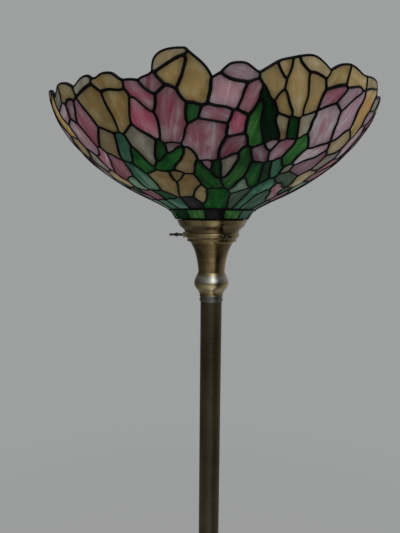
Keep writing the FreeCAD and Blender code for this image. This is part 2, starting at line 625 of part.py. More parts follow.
# ---- neck: heights from the cup's lip ---------------------------------------------------------
NECK_BORE_R = 5.2
NECK_OUTER = [(24.4, -27.05), (22.9, -30.0), (21.3, -33.2), (20.0, -36.6), (18.9, -40.2),
              (17.9, -44.2), (17.0, -48.6), (16.35, -53.2), (15.85, -57.4), (15.7, -60.0),
              (16.2, -62.2), (17.2, -64.6), (18.9, -68.0), (19.9, -71.0), (20.45, -74.2),
              (20.2, -76.5), (19.2, -78.8), (17.6, -81.0), (16.1, -83.0), (14.9, -85.0),
              (14.0, -86.8)]
NECK_INNER = [(13.7, -88.0), (NECK_BORE_R, -88.0), (NECK_BORE_R, -84.0), (12.2, -78.0),
              (12.2, -40.0), (18.0, -30.0), (NECK_BORE_R, -29.05), (NECK_BORE_R, -27.05)]
export("neck_vase", smooth_turning(NECK_OUTER, NECK_INNER, CUP_TOP))
# from the lampholder down through cup, neck and pole bush
export("neck_nipple", threaded_tube(CUP_TOP - 118.0, CUP_TOP - 13.0))
export("cup_washer", tube(12.0, CLEAR_R, CUP_TOP - 25.15, CUP_TOP - 23.6))
export("neck_locknuts", *[hex_nut(CUP_TOP + z, 3.2) for z in (-23.55, -95.7)])

# ---- lampholder: heights from the cup's lip ---------------------------------------------------
TERMINAL_X = 11.0
SOCKET_CAP = [(5.05, -20.2), (9.0, -20.2), (12.0, -17.0), (15.6, -11.0), (16.2, -5.0),
              (15.4, -5.0), (14.8, -10.6), (11.4, -16.0), (8.6, -19.2), (8.6, -14.0),
              (5.05, -14.0)]
SOCKET_SHELL = [(17.2, -9.0), (17.2, 34.0), (17.8, 35.0), (17.2, 36.0), (16.4, 36.0),
                (16.4, -9.0)]
SOCKET_BODY = [(3.6, -12.0), (8.0, -12.0), (14.6, -4.4), (14.6, 8.0), (6.0, 8.0),
               (6.0, 4.5), (3.6, 4.5)]
SCREW_SHELL = [(14.1, 8.1), (14.1, 32.0), (13.6, 32.0), (13.6, 8.6), (9.0, 8.6), (9.0, 8.1)]


def terminal_cyls(radius, length, top):
    """Upright cylinders at the two terminals, hanging from top above the cup's lip."""
    return [Part.makeCylinder(radius, length, Vector(x, 0, CUP_TOP + top), Vector(0, 0, -1))
            for x in (-TERMINAL_X, TERMINAL_X)]


def socket_body():
    body = revolve(SOCKET_BODY, CUP_TOP)
    for recess in terminal_cyls(radius=1.65, length=6.0, top=-6.85):
        body = body.cut(recess)
    return body


def socket_contact():
    """Flat strip with a domed button, cut off level below."""
    floor = CUP_TOP + 4.6
    strip = Part.makeBox(9.0, 3.2, 0.6, Vector(-4.5, -1.6, floor))
    contact = strip.fuse(Part.makeSphere(1.6, up(CUP_TOP + 6.2)))
    return contact.common(Part.makeBox(20, 20, 10, Vector(-10, -10, floor)))


export("socket_cap", revolve(SOCKET_CAP, CUP_TOP))
export("socket_shell", revolve(SOCKET_SHELL, CUP_TOP))
export("socket_sleeve", tube(16.3, 15.45, CUP_TOP - 4.9, CUP_TOP + 34.6))
export("socket_body", socket_body())
export("socket_screw_shell", revolve(SCREW_SHELL, CUP_TOP))
export("socket_contact", socket_contact())
export("socket_terminals", *terminal_cyls(radius=1.6, length=2.4, top=-6.9))

# ---- bulb: heights from the cup's lip, those of the envelope from its own foot ------------------
ENVELOPE_FOOT = CUP_TOP + 34.0
ENVELOPE_WALL = 0.9
ENVELOPE = [(12.9, 0.4), (13.3, 6.0), (15.2, 13.0), (19.6, 22.0), (23.2, 32.0),
            (24.0, 40.0), (22.6, 50.0), (17.6, 58.8), (9.5, 64.0), (0.0, 65.6)]
BULB_CAP = [(13.0, 13.0), (13.0, 34.3), (12.0, 34.3), (12.0, 13.6), (7.4, 11.2),
            (7.8, 10.6), (12.2, 12.6)]
BULB_INSULATOR = [(0.0, 9.2), (4.6, 9.2), (7.3, 10.65), (6.6, 12.6), (0.0, 12.6)]
BULB_CONTACT = [(0.0, 7.95), (2.6, 8.3), (3.6, 9.15), (0.0, 9.15)]
BULB_STEM = [(0.0, 16.0), (11.9, 16.0), (11.9, 17.2), (5.0, 24.0), (2.6, 44.0),
             (2.2, 56.0), (0.0, 56.0)]


def bulb_glass():
    # the wall is taken off the radius, and off the height only near the crown
    inside = [(max(0.0, r - ENVELOPE_WALL), z - (ENVELOPE_WALL if r < 10 else 0.0))
              for r, z in ENVELOPE]
    return spin([smooth(ENVELOPE, ENVELOPE_FOOT)]
                + lines([ENVELOPE[-1], inside[-1]], ENVELOPE_FOOT)
                + [smooth(inside, ENVELOPE_FOOT)]
                + lines([inside[0], ENVELOPE[0]], ENVELOPE_FOOT))


export("bulb_glass", bulb_glass())
export("bulb_cap", revolve(BULB_CAP, CUP_TOP))
export("bulb_insulator", revolve(BULB_INSULATOR, CUP_TOP))
export("bulb_contact", revolve(BULB_CONTACT, CUP_TOP))
export("bulb_stem", revolve(BULB_STEM, CUP_TOP))
# two straight wires leaning apart
export("bulb_filament", *[
    Part.makeCylinder(0.45, 26.0, Vector(side * 3.8, 0, CUP_TOP + 41.0),
                      Vector(side * 6.4, 0, 26.0)) for side in (-1, 1)])

# ---- pole --------------------------------------------------------------------------------------
UPPER_JOINT, LOWER_JOINT = POLE_JOINTS
POLE_BORE_R = POLE_R - POLE_WALL
SLEEVE_R = POLE_R + 0.05  # bore of the rings round the pole
BUSH_LENGTH = 14.0
BUSH_FEET = (POLE_HEAD - 20.0, UPPER_JOINT + 3.0, UPPER_JOINT - 17.0,
             LOWER_JOINT + 3.0, LOWER_JOINT - 17.0, POLE_FOOT + 4.0)
# heights from the cup's lip
POLE_RING = [(NECK_BORE_R, -88.05), (13.6, -88.05), (14.0, -88.7), (14.0, -89.9),
             (13.4, -90.7), (13.4, -92.9), (14.1, -93.9), (14.1, -94.7), (13.5, -95.8),
             (SLEEVE_R, -95.8), (SLEEVE_R, POLE_HEAD - CUP_TOP),
             (NECK_BORE_R, POLE_HEAD - CUP_TOP)]
# heights from the joint
JOINT_COLLAR = [(SLEEVE_R, -7.0), (14.2, -7.0), (15.2, -5.4), (14.2, -3.8), (14.2, -2.2),
                (16.4, 0.0), (14.2, 2.2), (14.2, 3.8), (15.2, 5.4), (14.2, 7.0),
                (SLEEVE_R, 7.0)]

export("pole_ring", revolve(POLE_RING, CUP_TOP))
for name, z0, z1 in (("pole_top", UPPER_JOINT + JOINT_GAP, POLE_HEAD - JOINT_GAP),
                     ("pole_middle", LOWER_JOINT + JOINT_GAP, UPPER_JOINT - JOINT_GAP),
                     ("pole_bottom", POLE_FOOT, LOWER_JOINT - JOINT_GAP)):
    export(name, tube(POLE_R, POLE_BORE_R, z0, z1))
export("pole_bushes", *[tube(POLE_BORE_R - 0.02, NUT_BORE_R, z, z + BUSH_LENGTH)
                        for z in BUSH_FEET])
export("pole_couplings", *[threaded_tube(z - 19.0, z + 19.0) for z in POLE_JOINTS])
export("pole_collars", *[revolve(JOINT_COLLAR, z) for z in POLE_JOINTS])

# ---- base: heights from the floor ---------------------------------------------------------------
FOOT_BORE_R = 6.2
FOOT_SOCKET_R = POLE_R + 0.06
FOOT_OUTER = [(15.4, 132.0), (16.6, 128.0), (15.6, 123.0), (17.4, 114.0), (22.6, 104.0),
              (27.6, 94.0), (29.6, 84.0), (27.0, 74.0), (20.6, 67.0), (18.6, 63.0),
              (22.0, 60.0), (29.5, 57.5), (38.0, 55.2)]
FOOT_INNER = [(38.0, 51.05), (FOOT_BORE_R, 51.05), (FOOT_BORE_R, 60.0), (16.5, 76.0),
              (20.0, 86.0), (11.0, 100.0), (11.0, 117.9), (FOOT_SOCKET_R, 117.9),
              (FOOT_SOCKET_R, 132.0)]
SHELL_OUTER = [(134.4, 16.0), (130.5, 21.0), (122.0, 24.6), (110.0, 26.4), (98.0, 27.6),
               (92.0, 29.6), (88.0, 33.2), (80.0, 36.4), (66.0, 39.6), (54.0, 43.4),
               (46.0, 47.6), (41.0, 51.0)]
WEIGHT_TOP = [(0.0, 13.0), (118.0, 13.0), (96.0, 23.0), (40.0, 31.0), (0.0, 31.0)]


def exit_cyl(radius, length, y):
    """Cylinder on the line where the cord leaves the base, toward the back from y."""
    return Part.makeCylinder(radius, length, Vector(0, y, CORD_EXIT_Z), Y_AXIS)


def base_shell():
    inner = [(r - 0.9, z - 1.4) for r, z in SHELL_OUTER]
    top_edge = [SHELL_OUTER[-1], (FOOT_BORE_R, 51.0), (FOOT_BORE_R, 49.6), inner[-1]]
    skirt = [inner[0], (133.5, BASE_FLOOR), (BASE_R, BASE_FLOOR), (BASE_R, 14.6),
             SHELL_OUTER[0]]
    shell = spin([smooth(SHELL_OUTER)] + lines(top_edge) + [smooth(inner)] + lines(skirt))
    return shell.cut(exit_cyl(5.0, length=20.0, y=125))


def base_weight():
    """Stepped disc, bored for the rod and nut, with a channel to the back for the cord."""
    weight = cyl(128.0, BASE_FLOOR, 13.0).fuse(revolve(WEIGHT_TOP)).removeSplitter()
    weight = weight.cut(cyl(5.3, 0, 60)).cut(cyl(15.0, 0, 24.0))
    weight = weight.cut(Part.makeBox(9.0, 140.0, 11.0, Vector(-4.5, 0, 3.0)))
    return weight.cut(exit_cyl(9.5, length=12.0, y=120))


def cord_grommet():
    grommet = exit_cyl(4.95, length=5.4, y=131.6)
    grommet = grommet.fuse(exit_cyl(7.2, length=1.8, y=135.05))
    grommet = grommet.fuse(exit_cyl(6.6, length=1.6, y=131.2))
    return grommet.cut(exit_cyl(FLEX_R + 0.15, length=20, y=125)).removeSplitter()


export("foot_cup", smooth_turning(FOOT_OUTER, FOOT_INNER))
export("base_shell", base_shell())
export("base_weight", base_weight())
export("base_felt", cyl(131.0, 0.0, FELT_THICK))
export("base_rod", threaded_tube(17.6, POLE_FOOT + 22.0))
export("base_washer", tube(13.0, CLEAR_R, 22.35, 23.95))
export("base_nut", hex_nut(18.15, 4.1))
export("base_spacer", tube(9.0, CLEAR_R, 31.05, 49.55))
export("cord_grommet", cord_grommet())

# ---- cord ---------------------------------------------------------------------------------------
SWITCH_DIRECTION = unit(Vector(-0.65, -0.76, 0))
PLUG_DIRECTION = unit(Vector(0.97, -0.24, 0))


def by_switch(distance, z):
    """Point on the foot switch's line, distance past its middle."""
    return SWITCH_AT + SWITCH_DIRECTION * distance + up(z)


def rounded(points, steps=4):
    """Points on a smooth curve through the given ones, with steps to each span."""
    ends = [points[0] * 2 - points[1]] + list(points) + [points[-1] * 2 - points[-2]]
    result = []
    for k in range(1, len(ends) - 2):
        a, b, c, d = ends[k - 1:k + 3]
        for m in range(steps):
            t = m / float(steps)
            result.append((b * 2 + (c - a) * t + (a * 2 - b * 5 + c * 4 - d) * (t * t)
                           + (b * 3 - a - c * 3 + d) * (t**3)) * 0.5)
    result.append(points[-1])
    return result


def flex(path, radius=FLEX_R, sides=12):
    """Closed rod of flat facets along a path."""
    u = None
    rings = []
    for i, point in enumerate(path):
        tangent = unit(path[min(len(path) - 1, i + 1)] - path[max(0, i - 1)])
        if u is None:
            u = X_AXIS if abs(tangent.x) < 0.8 else Y_AXIS
        u = unit(u - tangent * u.dot(tangent))
        v = tangent.cross(u)
        angles = [2 * math.pi * k / sides for k in range(sides)]
        rings.append([point + u * (radius * math.cos(a)) + v * (radius * math.sin(a))
                      for a in angles])
    faces = [Part.Face(Part.makePolygon(rings[0][::-1] + [rings[0][-1]])),
             Part.Face(Part.makePolygon(rings[-1] + [rings[-1][0]]))]
    skin(faces, zip(rings[:-1], rings[1:]))
    return solid_from(faces)


def cord_inner():
    """Down the pole, round the bend in the base, out at the back and across to the switch."""
    path = [up(CUP_TOP - 12.5), up(CORD_EXIT_Z + CORD_BEND_R)]
    for k in range(1, 8):
        a = math.radians(90.0 * k / 7)
        path.append(Vector(0, CORD_BEND_R * (1 - math.cos(a)),
                           CORD_EXIT_Z + CORD_BEND_R * (1 - math.sin(a))))
    outside = [(0, 142.0, CORD_EXIT_Z), (-2.0, 154.0, 7.8), (-7.0, 167.0, 5.2),
               (-15.0, 180.0, 3.5), (-27.0, 193.0, 3.1), (-48.0, 207.0, 3.1),
               (-76.0, 214.0, 3.1), (-104.0, 212.0, 3.1), (-128.0, 200.0, 3.4),
               (-143.0, 187.0, 5.4), (-155.0, 174.5, 8.4)]
    return flex(path + rounded([Vector(*point) for point in outside]
                               + [by_switch(-41.0, 10.3), by_switch(-33.0, SWITCH_CORD_Z)]))


def cord_tail():
    """From the switch along the floor on the left to the plug."""
    start = [by_switch(33.0, SWITCH_CORD_Z), by_switch(41.0, 10.2), by_switch(53.0, 7.3),
             by_switch(65.0, 4.3)]
    floor = [(-250.0, 52.0, 3.1), (-262.0, 16.0, 3.1), (-268.0, -26.0, 3.1),
             (-262.0, -76.0, 3.1), (-244.0, -124.0, 3.1), (-218.0, -164.0, 3.3),
             (-190.0, -194.0, 4.6), (-164.0, -214.0, 8.4)]
    end = [PLUG_AT - PLUG_DIRECTION * 30.0 + up(11.2),
           PLUG_AT - PLUG_DIRECTION * 17.0 + up(PLUG_Z)]
    return flex(rounded(start + [Vector(*point) for point in floor] + end))


export("cord_inner", cord_inner())
export("cord_tail", cord_tail())


def place(shape, direction, origin):
    """Move a shape built along +X at the origin to its direction and place."""
    shape.rotate(ORIGIN, Z_AXIS, math.degrees(math.atan2(direction.y, direction.x)))
    shape.translate(origin)
    return shape


# ---- foot switch, built along +X ------------------------------------------------------------------
def pill(length, width, z0, z1, radius):
    """Upright block with rounded corners in plan."""
    height = z1 - z0
    block = Part.makeBox(length, width, height, Vector(-length / 2, -width / 2, z0))
    return block.makeFillet(radius, [e for e in block.Edges
                                     if e.BoundBox.ZLength > height * 0.9])


def switch_cord_hole():
    return Part.makeCylinder(FLEX_R + 0.15, 120.0, Vector(-60, 0, SWITCH_CORD_Z), X_AXIS)


def switch_bottom():
    """Open tray with a post in the middle."""
    tray = pill(74.0, 34.0, 0.2, 10.0, 12.0).cut(pill(69.0, 29.0, 2.6, 10.5, 9.5))
    return tray.cut(switch_cord_hole()).fuse(cyl(4.2, 2.55, 9.0)).removeSplitter()


def switch_top():
    """Hollow lid with a round hole for the button."""
    lid = pill(74.0, 34.0, 10.05, 20.0, 12.0)
    lid = lid.makeFillet(3.0, [e for e in lid.Edges if e.BoundBox.ZMin > 19.9])
    lid = lid.cut(pill(69.0, 29.0, 9.5, 17.6, 9.5)).cut(cyl(9.2, 9, 30))
    return lid.cut(switch_cord_hole())


def switch_button():
    """Hollow button with a flange at its foot and a pin inside."""
    button = cyl(9.1, 13.4, 24.0)
    button = button.makeFillet(1.6, [e for e in button.Edges if e.BoundBox.ZMin > 23.9])
    button = button.fuse(cyl(10.6, 13.4, 15.2)).cut(cyl(7.4, 10, 21.6))
    return button.fuse(cyl(2.2, 15.0, 22.0)).removeSplitter()


def switch_spring():
    """Four turns of wire, sixteen steps to a turn."""
    angles = [2 * math.pi * k / 16.0 for k in range(65)]
    return flex([Vector(5.6 * math.cos(a), 5.6 * math.sin(a), 9.75 + 11.2 * k / 64.0)
                 for k, a in enumerate(angles)], radius=0.45, sides=6)


for name, build in (("switch_bottom", switch_bottom), ("switch_top", switch_top),
                    ("switch_button", switch_button), ("switch_spring", switch_spring)):
    export(name, place(build(), SWITCH_DIRECTION, SWITCH_AT))

# ---- plug, built along +X with its axis at the origin ---------------------------------------------
BLADE_SIDES = (-6.35, 6.35)   # y of the blades' middles
BLADE_THICK = 1.5
BLADE_WIDTH = 6.3


def blade_box(length, x, y, margin=0.0):
    return Part.makeBox(length, BLADE_THICK + 2 * margin, BLADE_WIDTH + 2 * margin,
                        Vector(x, y - BLADE_THICK / 2 - margin, -BLADE_WIDTH / 2 - margin))


def plug_body():
    body = Part.makeBox(24.0, 22.0, 15.0, Vector(-8.0, -11.0, -7.5))
    body = body.makeFillet(4.0, [e for e in body.Edges if e.BoundBox.XLength > 20.0])
    cord_neck = Part.makeCone(4.6, 7.0, 10.0, Vector(-17.0, 0, 0), X_AXIS)
    body = body.fuse(cord_neck).removeSplitter()
    body = body.cut(Part.makeCylinder(FLEX_R + 0.1, 12.0, Vector(-18.0, 0, 0), X_AXIS))
    for y in BLADE_SIDES:
        body = body.cut(blade_box(20.0, 7.98, y, margin=0.02))
    return body


def plug_blade(y):
    """Flat blade with rounded tip corners and a round hole."""
    blade = blade_box(24.0, 8.0, y)
    blade = blade.makeFillet(1.4, [e for e in blade.Edges
                                   if e.BoundBox.YLength > 1.4 and e.BoundBox.XMin > 31.0])
    return blade.cut(Part.makeCylinder(1.2, 6.0, Vector(28.0, y - 3.0, 0), Y_AXIS))


PLUG_CENTRE = PLUG_AT + up(PLUG_Z)
export("plug_body", place(plug_body(), PLUG_DIRECTION, PLUG_CENTRE))
export("plug_blades", *[place(plug_blade(y), PLUG_DIRECTION, PLUG_CENTRE)
                        for y in BLADE_SIDES])
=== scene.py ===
# A floor lamp with an upturned leaded-glass bowl. It stands on z = 0 with its pole on the z axis,
# its front facing -Y and its right side at +X. Objects are in metres; the shade's profile and
# the cord paths are laid out in millimetres. Angles run from the front towards +X.
import math
from collections import Counter

import bpy
import numpy as np
from mathutils import Matrix, Vector
from mathutils.geometry import delaunay_2d_cdt


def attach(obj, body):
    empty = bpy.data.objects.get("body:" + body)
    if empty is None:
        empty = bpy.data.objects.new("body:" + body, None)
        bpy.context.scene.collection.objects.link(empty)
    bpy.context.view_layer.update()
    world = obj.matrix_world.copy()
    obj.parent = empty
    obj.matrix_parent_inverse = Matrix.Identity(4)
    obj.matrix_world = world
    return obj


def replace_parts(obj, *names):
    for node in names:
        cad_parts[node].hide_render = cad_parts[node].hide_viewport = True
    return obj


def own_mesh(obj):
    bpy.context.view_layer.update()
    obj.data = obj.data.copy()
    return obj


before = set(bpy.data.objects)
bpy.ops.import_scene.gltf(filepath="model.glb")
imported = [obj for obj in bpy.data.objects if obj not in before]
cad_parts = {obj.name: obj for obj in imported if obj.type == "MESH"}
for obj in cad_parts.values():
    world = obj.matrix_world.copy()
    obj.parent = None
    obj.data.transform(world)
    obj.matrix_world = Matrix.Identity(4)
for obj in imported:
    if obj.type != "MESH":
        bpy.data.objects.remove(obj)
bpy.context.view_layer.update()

# ---- the lamp's dimensions ----------------------------------------------------------------------
CUP_TOP = 1.630
CUP_TOP_MM = CUP_TOP * 1000
# height over the cup top, radius (mm)
BOWL_PROFILE = ((-4.0, 35.4), (4.0, 42.0), (10.0, 45.7), (13.5, 50.0), (18.0, 58.0),
                (25.0, 72.3), (34.0, 90.9), (48.0, 113.8), (65.0, 136.0), (85.0, 154.2),
                (105.0, 166.6), (125.0, 172.4), (140.0, 174.4))
# the band of upright panes below the pattern: mm along the profile, degrees round
BAND_LOW, BAND_HIGH = 7.6, 21.25
BAND_COLOURS = "XBTGUGBKGBTGKB"
BAND_FIRST = 3.5
BAND_STEP = 360.0 / len(BAND_COLOURS)
THIRD = 120.0

PANE_GRID = 0.0042
PANE_GAP = 0.0004
GLASS_HALF = 0.0015
CURVE_STEPS = 4
LEAD_VOXEL = 0.00062
LEAD_SIDES = 10
LEAD_HALF_HEIGHT = 0.0026
JOINT_HALF_HEIGHT = 0.00272
JOINT_SWELL = 1.18
RIM_HALF_WIDTH, RIM_HALF_HEIGHT = 0.00120, 0.0021

